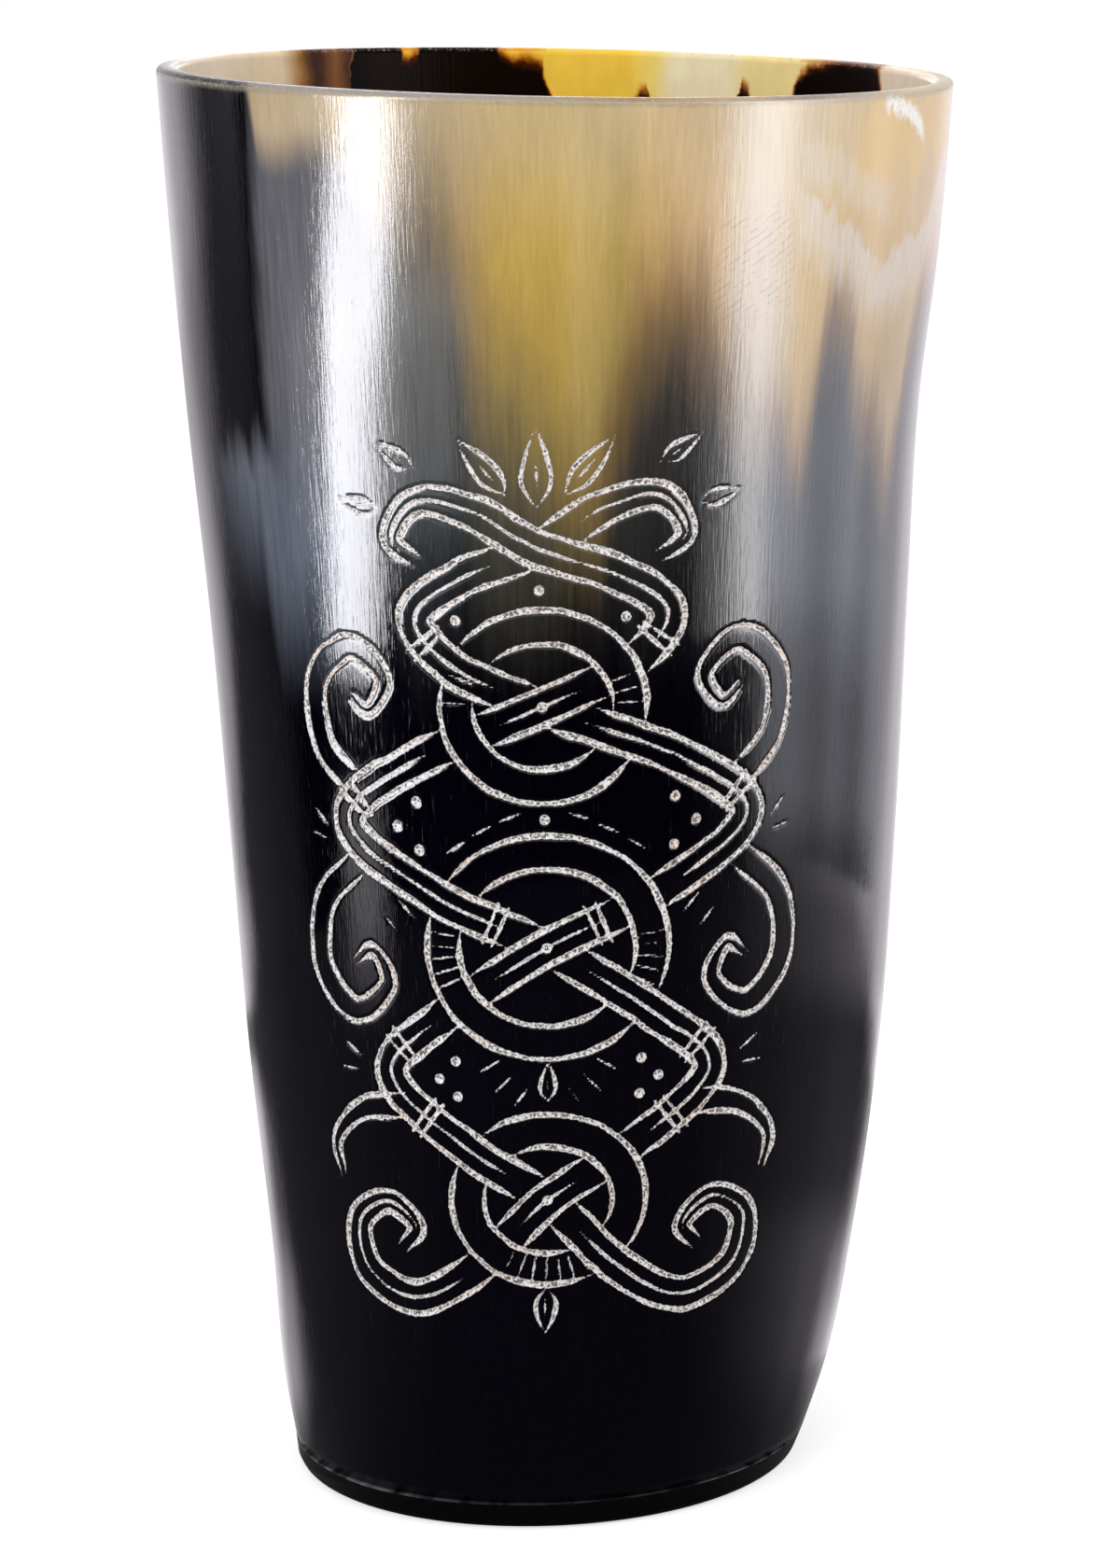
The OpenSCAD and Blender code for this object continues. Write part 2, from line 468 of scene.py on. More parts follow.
def cut_field(x, y, cuts):
    """How far inside a cut each point lies, and below zero how far outside."""
    line_x, line_y = np.vstack([line for line, half in cuts]).T
    half = np.concatenate([half for line, half in cuts])
    field = np.full(len(x), UNCUT)
    for low in range(math.floor(y.min()), math.ceil(y.max()) + 1):
        mine = np.flatnonzero((y >= low) & (y < low + 1))
        near = (line_y > low - 1) & (line_y < low + 2)
        if len(mine) and near.any():
            apart = np.hypot(x[mine, None] - line_x[near], y[mine, None] - line_y[near])
            field[mine] = np.maximum(field[mine], (half[near] - apart).max(axis=1))
    return field


def cells_with_cuts(cuts):
    """Cells of the coarse grid that a cut reaches."""
    busy = np.zeros((OUTSIDE_CELLS, COLUMNS), bool)
    for line, half in cuts:
        for side in (-1, 0, 1):
            for rise in (-1, 0, 1):
                z = line[:, 1] + ENGRAVING_FOOT_Z + rise * (half + MARGIN)
                turn = (line[:, 0] + ENGRAVING_ASIDE + side * (half + MARGIN)) / outside_r(z)
                row = (z - SEAM_Z) / (top_edge(turn) - SEAM_Z) * OUTSIDE_CELLS
                column = (turn + math.pi) / FULL_TURN * COLUMNS
                busy[row.astype(int), column.astype(int)] = True
    return busy


def places_in_use(busy):
    """Places of the fine grid that get a point: coarse corners, and all in cells with cuts."""
    used = np.zeros((FINE_ROWS + 1, FINE_COLUMNS), bool)
    used[::SPLIT, ::SPLIT] = True
    for row, column in zip(*np.nonzero(busy)):
        rows = np.arange(row * SPLIT, (row + 1) * SPLIT + 1)
        columns = np.arange(column * SPLIT, (column + 1) * SPLIT + 1) % FINE_COLUMNS
        used[np.ix_(rows, columns)] = True
    return used


def outside_points(used, cuts):
    """Points of the outside with its engraving, and how far inside a cut each is."""
    row, column = np.nonzero(used)
    turn = -math.pi + column * FULL_TURN / FINE_COLUMNS
    z = SEAM_Z + (top_edge(turn) - SEAM_Z) * row / FINE_ROWS
    field = cut_field(turn * outside_r(z) - ENGRAVING_ASIDE, z - ENGRAVING_FOOT_Z, cuts)
    rough = np.random.default_rng(DEPTH_SEED).uniform(*DEPTH_SHARES, len(field))
    depth = np.clip(field * GROOVE_SLOPE, 0, ENGRAVING_DEPTH) * rough
    return on_wall(turn, z, depth - scraped(turn, z)), field


# Half circles over the lip, up from the outside and down to the inside, in steps of so many degrees
LIP_STEP = 15
LIP_UP = np.radians(np.arange(LIP_STEP, 91, LIP_STEP))
LIP_DOWN = np.radians(np.arange(90, -1, -LIP_STEP))
LIP_RINGS = len(LIP_UP) + len(LIP_DOWN)
SEAT_RINGS = 3
# Rings at each end of the lip that have the outside's or the inside's material
LIP_SKIRT = 2
OUTSIDE, LIP, INSIDE = 0, 1, 2
# The bake's square, as shares of its height
UV_OUTSIDE_SHARES, UV_LIP_SHARES = (0.0, 0.56), (0.945, 0.975)
UV_INSIDE_SHARES, UV_SEAT_SHARES = (0.58, 0.93), (0.98, 0.995)


def inner_rings():
    """Rings from the outside's top edge over the lip, down the inside and round the foot's seat."""
    turn = -math.pi + np.arange(COLUMNS) * FULL_TURN / COLUMNS
    top = top_edge(turn)
    over = [(angle, RIM_ROUND * (1 - math.cos(angle))) for angle in LIP_UP]
    over += [(angle, RIM_WALL - RIM_ROUND * (1 - math.cos(angle))) for angle in LIP_DOWN]
    rings = [on_wall(turn, top + RIM_ROUND * math.sin(angle), inset) for angle, inset in over]
    for share in np.linspace(0, 1, INSIDE_RINGS + 1)[1:]:
        z = top + (FLOOR_Z - top) * share
        rings.append(on_wall(turn, z, wall_at(z)))
    return rings + [ring_at(0, SEAT_R, turn, z) for z in (FLOOR_Z, SEAM_Z)]


def uv_place(shares, along, up):
    low, high = shares
    return along, low + (high - low) * up


def outside_faces(busy, used):
    """Faces of the outside as fine places: small quads in busy cells, one face in each of the others."""
    faces = []
    steps = range(SPLIT)
    for row in range(OUTSIDE_CELLS):
        for column in range(COLUMNS):
            low, left = row * SPLIT, column * SPLIT
            if busy[row, column]:
                faces += [[(u, v), (u, v + 1), (u + 1, v + 1), (u + 1, v)]
                          for u in range(low, low + SPLIT) for v in range(left, left + SPLIT)]
                continue
            border = [(low, left + k) for k in steps] + [(low + k, left + SPLIT) for k in steps]
            border += [(low + SPLIT, left + SPLIT - k) for k in steps]
            border += [(low + SPLIT - k, left) for k in steps]
            faces.append([(u, v) for u, v in border if used[u, v % FINE_COLUMNS]])
    return faces


def inner_faces(ids):
    """Faces between the rings whose points are numbered in ids, with UV places and material slots."""
    faces, uvs, slots = [], [], []
    sections = [(UV_LIP_SHARES, k, LIP_RINGS) for k in range(LIP_RINGS)]
    sections += [(UV_INSIDE_SHARES, k, INSIDE_RINGS) for k in range(INSIDE_RINGS)]
    sections += [(UV_SEAT_SHARES, k, SEAT_RINGS) for k in range(SEAT_RINGS)]
    for ring, (below, above, (shares, k, count)) in enumerate(zip(ids, ids[1:], sections)):
        slot = OUTSIDE if ring < LIP_SKIRT else LIP if ring < LIP_RINGS - LIP_SKIRT else INSIDE
        for j in range(COLUMNS):
            after = (j + 1) % COLUMNS
            faces.append([int(below[j]), int(below[after]), int(above[after]), int(above[j])])
            corners = ((j, k), (j + 1, k), (j + 1, k + 1), (j, k + 1))
            uvs += [uv_place(shares, u / COLUMNS, v / count) for u, v in corners]
            slots.append(slot)
    return faces, uvs, slots


def mesh_object(name, points, faces, materials):
    mesh = bpy.data.meshes.new(name)
    mesh.from_pydata((np.asarray(points) * MM).tolist(), [], faces)
    for material in materials:
        mesh.materials.append(material)
    mesh.shade_smooth()
    piece = bpy.data.objects.new(name, mesh)
    bpy.context.collection.objects.link(piece)
    return piece


def build_wall(materials):
    """The whole wall as one closed mesh, engraved in front."""
    cuts = draw_interlace()
    busy = cells_with_cuts(cuts)
    used = places_in_use(busy)
    points, field = outside_points(used, cuts)
    number = np.full(used.shape, -1)
    number[used] = np.arange(len(points))

    rings = inner_rings()
    ids = [number[-1, ::SPLIT]]
    ids += [len(points) + np.arange(COLUMNS) + k * COLUMNS for k in range(len(rings))]
    ids.append(number[0, ::SPLIT])

    places = outside_faces(busy, used)
    faces = [[int(number[u, v % FINE_COLUMNS]) for u, v in face] for face in places]
    uvs = [uv_place(UV_OUTSIDE_SHARES, v / FINE_COLUMNS, u / FINE_ROWS) for face in places for u, v in face]
    more_faces, more_uvs, more_slots = inner_faces(ids)
    wall = mesh_object("horn_wall_carved", np.vstack([points] + rings), faces + more_faces, materials)
    mesh = wall.data
    mesh.polygons.foreach_set("material_index", [OUTSIDE] * len(faces) + more_slots)
    mesh.uv_layers.new(name="OFBake").data.foreach_set("uv", np.ravel(uvs + more_uvs))
    cut_depths = np.full(len(mesh.vertices), UNCUT)
    cut_depths[:len(field)] = field
    mesh.attributes.new("cut", "FLOAT", "POINT").data.foreach_set("value", cut_depths)
    return wall


def between(value, low, high):
    return (value - low) / (high - low)


class Value:
    """A result of a material's nodes, with which sums are written as with any number."""

    def __init__(self, nodes, socket):
        self.nodes, self.socket = nodes, socket

    def __add__(self, other):
        return self.nodes.calc("ADD", self, other)

    def __sub__(self, other):
        return self.nodes.calc("SUBTRACT", self, other)

    def __rsub__(self, other):
        return self.nodes.calc("SUBTRACT", other, self)

    def __mul__(self, other):
        return self.nodes.calc("MULTIPLY", self, other)

    def __truediv__(self, other):
        return self.nodes.calc("DIVIDE", self, other)

    def __abs__(self):
        return self.nodes.calc("ABSOLUTE", self)

    def or_more(self, other):
        """The larger of two values."""
        return self.nodes.calc("MAXIMUM", self, other)

    def fade(self, start, end):
        """0 at start, 1 at end, smooth between them."""
        inputs = {0: self, 1: start, 2: end}
        return self.nodes.value("ShaderNodeMapRange", inputs, interpolation_type="SMOOTHSTEP")

    def window(self, start, full_from, full_to, end):
        """0 outside start and end, 1 between the two full values."""
        return self.fade(start, full_from) * self.fade(end, full_to)

    def within(self, reach):
        """A fade for a reach of two numbers, a window for one of four."""
        return self.fade(*reach) if len(reach) == 2 else self.window(*reach)

    def scaled(self, by, plus):
        return self.nodes.calc("MULTIPLY_ADD", self, by, plus)

    def share(self, low, high):
        """How far this value is from low to high."""
        return self.scaled(1 / (high - low), low / (low - high))

    def ramp(self, stops, reach=(0, 1)):
        """The colour that goes with this value, blended between stops within a reach."""
        made = self.nodes.node("ShaderNodeValToRGB", {0: self.share(*reach)})
        elements = made.color_ramp.elements
        while len(elements) < len(stops):
            elements.new(0.5)
        for element, (at, colour) in zip(elements, stops):
            element.position = between(at, *reach)
            element.color = (*colour, 1)
        return Value(self.nodes, made.outputs[0])

    def curve(self, stops, reach, spread):
        """The number that goes with this value, on a curve through stops within a reach and a spread."""
        low, high = spread
        points = [(between(at, *reach), between(number, low, high)) for at, number in stops]
        if points[0][0] > 0:
            points.insert(0, (0.0, points[0][1]))
        if points[-1][0] < 1:
            points.append((1.0, points[-1][1]))
        made = self.nodes.node("ShaderNodeFloatCurve", {1: self.share(*reach)})
        curve = made.mapping.curves[0]
        for x, y in points[1:-1]:
            curve.points.new(x, y)
        for point, place in zip(curve.points, points):
            point.location = place
        made.mapping.update()
        return Value(self.nodes, made.outputs[0]).scaled(high - low, low)


class Nodes:
    """A tree of nodes, to which each method adds one and gives back what it puts out."""

    def __init__(self, tree):
        self.tree = tree

    def feed(self, socket, value):
        """Link an input to a value, or set it; colours are given as three numbers."""
        if isinstance(value, Value):
            self.tree.links.new(value.socket, socket)
        else:
            socket.default_value = (*value, 1) if socket.type == "RGBA" else value

    def node(self, kind, inputs, **settings):
        made = self.tree.nodes.new(kind)
        for name, value in settings.items():
            setattr(made, name, value)
        for socket, value in inputs.items():
            self.feed(made.inputs[socket], value)
        return made

    def value(self, kind, inputs, output=0, **settings):
        return Value(self, self.node(kind, inputs, **settings).outputs[output])

    def calc(self, operation, *values, clamp=False):
        return self.value("ShaderNodeMath", dict(enumerate(values)), operation=operation, use_clamp=clamp)

    def vector(self, operation, *values, output=0):
        return self.value("ShaderNodeVectorMath", dict(enumerate(values)), output, operation=operation)

    def join(self, x, y, z):
        return self.value("ShaderNodeCombineXYZ", {0: x, 1: y, 2: z})

    def noise(self, place, scale, detail=2.0, roughness=0.5):
        return self.value("ShaderNodeTexNoise", {"Vector": place, "Scale": scale, "Detail": detail,
                                                 "Roughness": roughness})

    def mix(self, share, first, second, blend="MIX"):
        inputs = {0: share, 6: first, 7: second}
        return self.value("ShaderNodeMix", inputs, 2, data_type="RGBA", blend_type=blend)

    def tinted(self, colour, tint):
        return self.mix(1.0, colour, tint, "MULTIPLY")


class Shader(Nodes):
    """A material's nodes, with the place that they colour."""

    def __init__(self, name):
        self.material = bpy.data.materials.new(name)
        self.material.use_nodes = True
        super().__init__(self.material.node_tree)
        self.surface = self.tree.nodes["Principled BSDF"].inputs
        place = self.value("ShaderNodeTexCoord", {}, "Object")
        self.place = self.vector("MULTIPLY", place, (1 / MM, 1 / MM, 1 / MM))
        split = self.node("ShaderNodeSeparateXYZ", {0: self.place}).outputs
        self.x, self.y, self.z = [Value(self, socket) for socket in split]

    def turn_at(self, x):
        """Degrees from the front, towards +X, round the upright axis that x is measured from."""
        return self.calc("ARCTAN2", x, self.y * -1.0) * math.degrees(1)

    def finish(self, colour, roughness, gloss=0.5, bump=None, bump_depth=0.0):
        """Feed the surface; bump is a height without a scale, and bump_depth is its scale."""
        self.feed(self.surface["Specular IOR Level"], gloss)
        self.feed(self.surface["Base Color"], colour)
        self.feed(self.surface["Roughness"], roughness)
        if bump is not None:
            inputs = {"Height": bump, "Distance": bump_depth * MM, "Strength": 1.0}
            self.feed(self.surface["Normal"], self.value("ShaderNodeBump", inputs))
        return self.material

    def shine(self, strength, tint):
        """Make the material a light of its own."""
        glow = self.value("ShaderNodeEmission", {"Color": tint, "Strength": strength})
        self.feed(self.tree.nodes["Material Output"].inputs["Surface"], glow)
        return self.material


FIBRE_R = 37
LEAN_AT_FOOT, LEAN_RISE = 1.3, 0.03


class HornShader(Shader):
    """Adds the turn round the horn's leaning middle, places on its skin, and the way down from the rim."""

    def __init__(self, name):
        super().__init__(name)
        self.x = self.x - self.z.scaled(LEAN_RISE, LEAN_AT_FOOT)
        self.turn = self.turn_at(self.x)
        round_place = self.vector("MULTIPLY", self.vector("NORMALIZE", self.join(self.x, self.y, 0.0)),
                                  (FIBRE_R, FIBRE_R, 0))
        self.skin = self.vector("ADD", round_place, self.join(0.0, 0.0, self.z))
        self.below_rim = self.x.scaled(RIM_SLOPE, RIM_Z) - self.z


# Turns are in degrees from the front, towards +X
ROUND = (-180, 180)
CURVE_HEIGHTS = (100, 160)

# Milky bands on the right, rubbed pale: the height that each runs at, turn by turn, where it shows, and how
# far below and above that height it reaches; behind the cup, where no band shows, its curve goes on level
BAND_AWAY = ((-180, 130),), ((180, 130),)
MILKY_BAND = ((34, 140), (37, 138.6), (44, 135.2), (50, 132.4), (54.5, 130.6), (60, 131.6), (66, 133),
              (70, 134.5), (76, 140), (84, 141))
MILKY_TURNS, MILKY_REACH = (34, 39, 76, 84), (-7.5, 1.6)
UPPER_BAND = ((36, 143), (42, 141.5), (48, 139.5), (54, 137.8), (58, 137))
UPPER_TURNS, UPPER_REACH = (34, 39, 52, 59), (-4.0, 2.6)
RUBBED_SPOT = ((50, 147.6), (53, 147.3), (57, 146.6), (61, 145.4), (65, 143.2), (68, 141.5))
SPOT_TURNS, SPOT_REACH = (51.5, 53.5, 63.0, 65.5), (-1.5, 1.3)
# Fine cross scratches beside the left end of the bands, their spacing and the slope they rise at
SCRATCH_TURNS, SCRATCH_HEIGHTS = (21, 25, 33, 37), (125.0, 129.0, 136.5, 140.0)
SCRATCH_GAP, SCRATCH_RISE, SCRATCH_HALF = 0.72, math.radians(33), (0.14, 0.05)

# Height at which the dark pigment starts, turn by turn, outside and inside
DARK_TOP_OUTSIDE = (
    (-180, 128), (-175, 140), (-170, 153), (-158, 153), (-154, 146), (-151, 153), (-147, 153), (-143, 142),
    (-140, 150), (-136, 150), (-131, 139), (-118, 134), (-109, 147), (-104, 136), (-95, 139), (-86, 152),
    (-80, 159), (-51, 159), (-46.7, 146), (-44, 144.5), (-40, 145), (-34, 146), (-26, 143), (-20, 140.5),
    (-17, 139), (-14, 131), (-11, 123), (-6, 118.5), (-1, 116.5), (3, 108.5), (7, 114), (10, 122.5),
    (14, 128), (18, 129), (22, 126), (26, 120.5), (31, 116.5), (35, 116.5), (39, 113), (42, 123), (45.5, 127),
    (49, 120.5), (53, 116.5), (57, 115), (62, 110.5), (65, 115), (70, 125), (75, 127), (85, 131), (96, 127),
    (110, 133), (122, 140), (129, 151), (140, 152), (146, 142), (155, 137), (165, 130), (180, 128))
DARK_TOP_INSIDE = (
    (-180, 143), (-178.9, 148.2), (-175, 149.1), (-172.4, 149.2), (-171, 152), (-168, 157), (-159, 157),
    (-157.9, 151), (-156, 149.7), (-154.2, 151), (-153, 157), (-148, 157), (-145.6, 152), (-143.5, 144),
    (-136, 143), (-128, 141), (-105, 140), (-95, 138), (-84, 148), (-70, 154), (-54, 150), (-45, 140),
    (-20, 134), (-5, 122), (5, 118), (16, 130), (25, 118), (42, 130), (58, 116), (75, 126), (95, 130),
    (112, 140), (115, 144.5), (117, 147.2), (119, 148.6), (124, 149), (128, 148.7), (132, 148), (136, 147.2),
    (137.5, 145.4), (139, 142), (145.4, 141), (146.6, 145.9), (148.2, 145.6), (149.4, 140), (162.5, 138),
    (164.6, 145.1), (166.6, 145.2), (168.4, 139), (179.2, 140), (180, 143))

GOLD = (0.62, 0.42, 0.10)
AMBER = (0.66, 0.47, 0.155)
OLIVE = (0.50, 0.355, 0.11)
BROWN = (0.50, 0.34, 0.16)
HONEY = (0.86, 0.55, 0.06)
BEIGE = (0.69, 0.455, 0.165)
ROSE_BEIGE = (0.72, 0.50, 0.29)
# The horn's beige, paled and blued by painted sheen under the right strip's highlight so that the highlight
# reads whiter
STRIP_SHEEN_BEIGE = (0.56, 0.44, 0.34)
TAN = (0.54, 0.40, 0.28)
RUST = (0.26, 0.11, 0.07)
WARM_TAN = (0.68, 0.45, 0.19)
GOLDEN_TAN = (0.80, 0.52, 0.16)
RIGHT_TAN = (0.66, 0.45, 0.24)
CREAM = (0.86, 0.68, 0.40)
PALE = (0.68, 0.54, 0.34)
LIT_HONEY = (1.0, 0.64, 0.075)
LIT_YELLOW = (1.0, 0.78, 0.22)
LIT_CREAM = (1.0, 0.87, 0.56)
LIT_APRICOT = (1.0, 0.80, 0.36)
LIT_TAN = (0.90, 0.72, 0.50)
LIT_ROSE = (0.95, 0.80, 0.64)
ORANGE_BROWN = (0.46, 0.22, 0.06)
STREAK_BROWN = (0.24, 0.10, 0.035)
RED_BLACK = (0.06, 0.022, 0.018)
SLATE = (0.062, 0.064, 0.072)
WARM_SLATE = (0.115, 0.115, 0.108)
OLIVE_SLATE = (0.21, 0.18, 0.12)
BROWN_SLATE = (0.076, 0.072, 0.064)
PALE_SLATE = (0.150, 0.150, 0.172)
BLACK = (0.0011, 0.0007, 0.0026)
BROWN_BLACK = (0.004, 0.0016, 0.0018)
DEEP_BROWN = (0.050, 0.031, 0.023)
COLD_LEFT, COLD_RIGHT = (0.94, 1.07, 1.20), (1.0, 1.04, 1.08)
HAZE = (0.70, 0.52, 0.38)
RUBBED_WHITE, SPOT_WHITE, RUBBED_RIM = (0.74, 0.71, 0.69), (0.96, 0.93, 0.90), (0.36, 0.32, 0.25)
SCRATCH_BROWN = (0.12, 0.09, 0.08)
DUST_WHITE, DUST_ROSE, CUT_DARK = (0.93, 0.89, 0.87), (0.90, 0.72, 0.64), (0.10, 0.085, 0.08)
LIP_PALE = (0.62, 0.55, 0.50)
BASE_DARK, BASE_LIGHT = (0.0008, 0.0008, 0.0012), (0.0035, 0.0030, 0.0036)
# The glue's pale colour is that of its specks and of the painted highlight along the seam
GLUE_DARK, GLUE_PALE_AND_SHEEN = (0.004, 0.004, 0.005), (0.20, 0.19, 0.205)

# Colours by turn
LIGHT_OUTSIDE = (
    (-180, HONEY), (-160, AMBER), (-120, TAN), (-52, RUST), (-48.5, RUST), (-46, TAN), (-36, TAN),
    (-24, BROWN), (-14, BROWN), (-8, GOLD), (0, GOLD), (3, AMBER), (9, OLIVE), (12, BEIGE), (22, ROSE_BEIGE),
    # At turns 27 to 31, under the right strip's highlight, the beige is paled by painted sheen
    (27, STRIP_SHEEN_BEIGE), (31, STRIP_SHEEN_BEIGE), (37, BEIGE), (46, WARM_TAN), (60, WARM_TAN), (72, RIGHT_TAN),
    (110, CREAM), (160, HONEY))
LIGHT_INSIDE = (
    (-180, LIT_HONEY), (-148, LIT_HONEY), (-145, RED_BLACK), (-142, STREAK_BROWN), (-139, RED_BLACK),
    (-137, RED_BLACK), (-134.5, ORANGE_BROWN), (-131, LIT_TAN), (-124, LIT_TAN), (-112, LIT_ROSE),
    (-90, LIT_ROSE), (-20, BEIGE), (5, AMBER), (30, BEIGE), (80, LIT_TAN), (98, LIT_ROSE), (112, LIT_ROSE),
    (120, LIT_TAN), (128, LIT_APRICOT), (147, LIT_APRICOT), (150, LIT_CREAM), (160, LIT_CREAM),
    (163, LIT_YELLOW), (167, LIT_HONEY))
LIP_FRONT = (
    (-100, (0.55, 0.53, 0.54)), (-80, (0.36, 0.34, 0.36)), (-70, (0.14, 0.13, 0.14)),
    (-62, (0.05, 0.045, 0.05)), (-50, (0.07, 0.06, 0.065)), (-46, (0.36, 0.32, 0.29)),
    (-20, (0.38, 0.35, 0.32)), (0, (0.40, 0.34, 0.27)), (10, (0.40, 0.28, 0.17)), (20, (0.50, 0.37, 0.23)),
    (29, (0.56, 0.40, 0.26)), (36, (0.32, 0.28, 0.25)), (44, (0.48, 0.42, 0.36)), (58, (0.72, 0.58, 0.42)),
    (80, (0.72, 0.62, 0.50)), (100, (0.78, 0.66, 0.50)))
SLATE_ROUND = ((-180, SLATE), (-32, SLATE), (-26, WARM_SLATE), (-15, WARM_SLATE), (-11, OLIVE_SLATE),
               (-5, OLIVE_SLATE), (4, OLIVE_SLATE), (9, BROWN_SLATE), (16, BROWN_SLATE), (23, SLATE),
               (180, SLATE))
COLD_ROUND = ((-180, COLD_LEFT), (-12, COLD_LEFT), (8, COLD_RIGHT), (180, COLD_RIGHT))
# Colours of the inside's blotches from their middle out
BLOTCH_VEIL = ((0.0, BROWN_BLACK), (0.25, (0.06, 0.018, 0.012)), (0.5, (0.36, 0.16, 0.09)),
               (0.75, (0.78, 0.55, 0.36)), (1.0, (1, 1, 1)))

# Streaks drawn out along the horn: noise scale, how many times longer than wide, detail, strength
GRAIN = ((3.0, 11, 4, 0.34), (0.7, 14, 3, 0.16), (0.12, 3, 2, 0.5))
TATTERS = ((0.22, 8, 2, 14.0), (1.6, 16, 3, 7.0))
TONGUES = ((0.35, 9, 2, 13.0),)
SIDEWAYS = ((0.10, 2.5, 2, 6.48), (0.9, 9, 2, 2.16))
SLATE_STREAKS = ((0.8, 20, 3, 0.9),)
THREADS = ((2.8, 20, 4, 0.75),)
CLOUDS = ((0.5, 2, 3, 0.35),)
DEEP_STREAKS = ((0.5, 8, 3, 2.4),)
TICKS = ((1.3, 9, 4, 5.0), (0.25, 1.2, 2, 2.4))
FIBRE = ((3.4, 15, 4, 1.0),)
HAIR = ((8.0, 24, 2, 1.0),)
INSIDE_FIBRE = ((2.0, 30, 4, 1.0),)


def drawn_out(horn, place, along, *noise):
    """Noise that is longer than it is wide, up and down."""
    return horn.noise(horn.vector("MULTIPLY", place, (1, 1, 1 / along)), *noise)


def streaks(horn, layers):
    """Noise drawn out along the horn, around 0."""
    total = -0.5 * sum(strength for *_, strength in layers)
    for scale, along, detail, strength in layers:
        total = drawn_out(horn, horn.skin, along, scale, detail).scaled(strength, total)
    return total


def height_at(turn, stops):
    return turn.curve(stops, ROUND, CURVE_HEIGHTS)


# The dark pigment: where its pieces start and stop, by height and by turn
CALM_TURNS, CALM_SHARE = (-36, -20), 0.18
EDGE_SOFT, SOFTER_FROM, SOFTER_BY, SOFTER_UNTIL, HARDER_BY = 3.0, (-34, -24), 11.0, (20, 27), 5.5
FRONT_SLATE_HEIGHTS, FRONT_SLATE_TURNS = (88, 140), (-50, -28)
LEFT_SLATE_HEIGHTS, LEFT_SLATE_TURNS = (87, 107), (-69, -55.5, -42, -26)
SLATE_FOOT_TURNS, SLATE_FOOT_RISE = (-50, -53), 9.0
COLD_HEIGHTS = (122, 106)
FRONT_BLACK_TURNS, FRONT_BLACK_HEIGHTS = (-176, -172, -49, -44.8), (111.5, 117.5)


def dark_outside(horn, ragged):
    """Slate above, black at the foot and up the left side, under fine pale threads."""
    front_slate = ragged.fade(*FRONT_SLATE_HEIGHTS) * horn.turn.fade(*FRONT_SLATE_TURNS)
    deep = horn.mix(front_slate, BLACK, horn.turn.ramp(SLATE_ROUND, ROUND))
    foot = ragged - horn.turn.fade(*SLATE_FOOT_TURNS) * SLATE_FOOT_RISE
    left_slate = foot.fade(*LEFT_SLATE_HEIGHTS) * horn.turn.window(*LEFT_SLATE_TURNS)
    deep = horn.mix(left_slate * (streaks(horn, SLATE_STREAKS) + 1.0), deep, PALE_SLATE)
    cold = horn.tinted(deep, horn.turn.ramp(COLD_ROUND, ROUND))
    deep = horn.mix(horn.z.fade(*COLD_HEIGHTS), deep, cold)
    tongues = streaks(horn, TONGUES) + horn.z
    sideways = streaks(horn, SIDEWAYS) + horn.turn
    deep = horn.mix(sideways.window(*FRONT_BLACK_TURNS) * tongues.fade(*FRONT_BLACK_HEIGHTS), deep, BLACK)
    return horn.tinted(deep, streaks(horn, THREADS) + 1.0)


# The light horn: a pale veil under the rim, a deeper tone below it, a golden stretch and a brown haze
VEIL_BELOW_RIM, VEIL, VEIL_THIN, VEIL_THIN_TURNS = (17, 0), 0.6, 0.45, (44, 51, 74, 84)
TONE_BELOW_RIM, TONE = (8, 34), 0.28
GOLD_TURNS, GOLD_HEIGHTS, GOLD_SHARE = (45, 50, 76, 86), (138.0, 141.0, 146.5, 149.0), 0.8
HAZE_LIGHTNESS, HAZE_TURNS, HAZE_SHARE = (1.0, 0.4), (-4, 8), 0.6


def light_outside(horn, ragged, lightness):
    light = horn.turn.ramp(LIGHT_OUTSIDE, ROUND)
    veil = VEIL - horn.turn.window(*VEIL_THIN_TURNS) * VEIL_THIN
    light = horn.mix(horn.below_rim.fade(*VEIL_BELOW_RIM) * veil, light, PALE)
    light = horn.tinted(light, streaks(horn, GRAIN) + 1.0)
    light = horn.tinted(light, 1.0 - horn.below_rim.fade(*TONE_BELOW_RIM) * TONE)
    golden = horn.turn.window(*GOLD_TURNS) * ragged.window(*GOLD_HEIGHTS)
    light = horn.mix(golden * GOLD_SHARE, light, GOLDEN_TAN)
    haze = lightness.fade(*HAZE_LIGHTNESS) * horn.turn.fade(*HAZE_TURNS)
    return horn.mix(haze * HAZE_SHARE, light, horn.tinted(light, HAZE))


def outside_pigment(horn):
    """Light horn above the dark pigment's uneven edge, which is calm on the left and soft in front."""
    calm = horn.turn.fade(*CALM_TURNS) * (1 - CALM_SHARE) + CALM_SHARE
    ragged = streaks(horn, TATTERS) * calm + horn.z
    soft = horn.turn.fade(*SOFTER_FROM).scaled(SOFTER_BY, EDGE_SOFT)
    soft = soft - horn.turn.fade(*SOFTER_UNTIL) * HARDER_BY
    over = ragged - height_at(horn.turn, DARK_TOP_OUTSIDE)
    lightness = (over / soft).fade(-1, 1)
    return horn.mix(lightness, dark_outside(horn, ragged), light_outside(horn, ragged, lightness))


# The inside's blotches: noise that moves their edges, how far it does round the cup, and the deep streaks
BLOTCH_NOISE, BLOTCH_TURN, WAVE_NOISE = (0.35, 3.0), 2.88, (0.7, 3.0)
CLOUD_LEVEL, DEEP_LEVEL, DEEP_HEIGHTS = 1.08, 0.5, (138, 112)


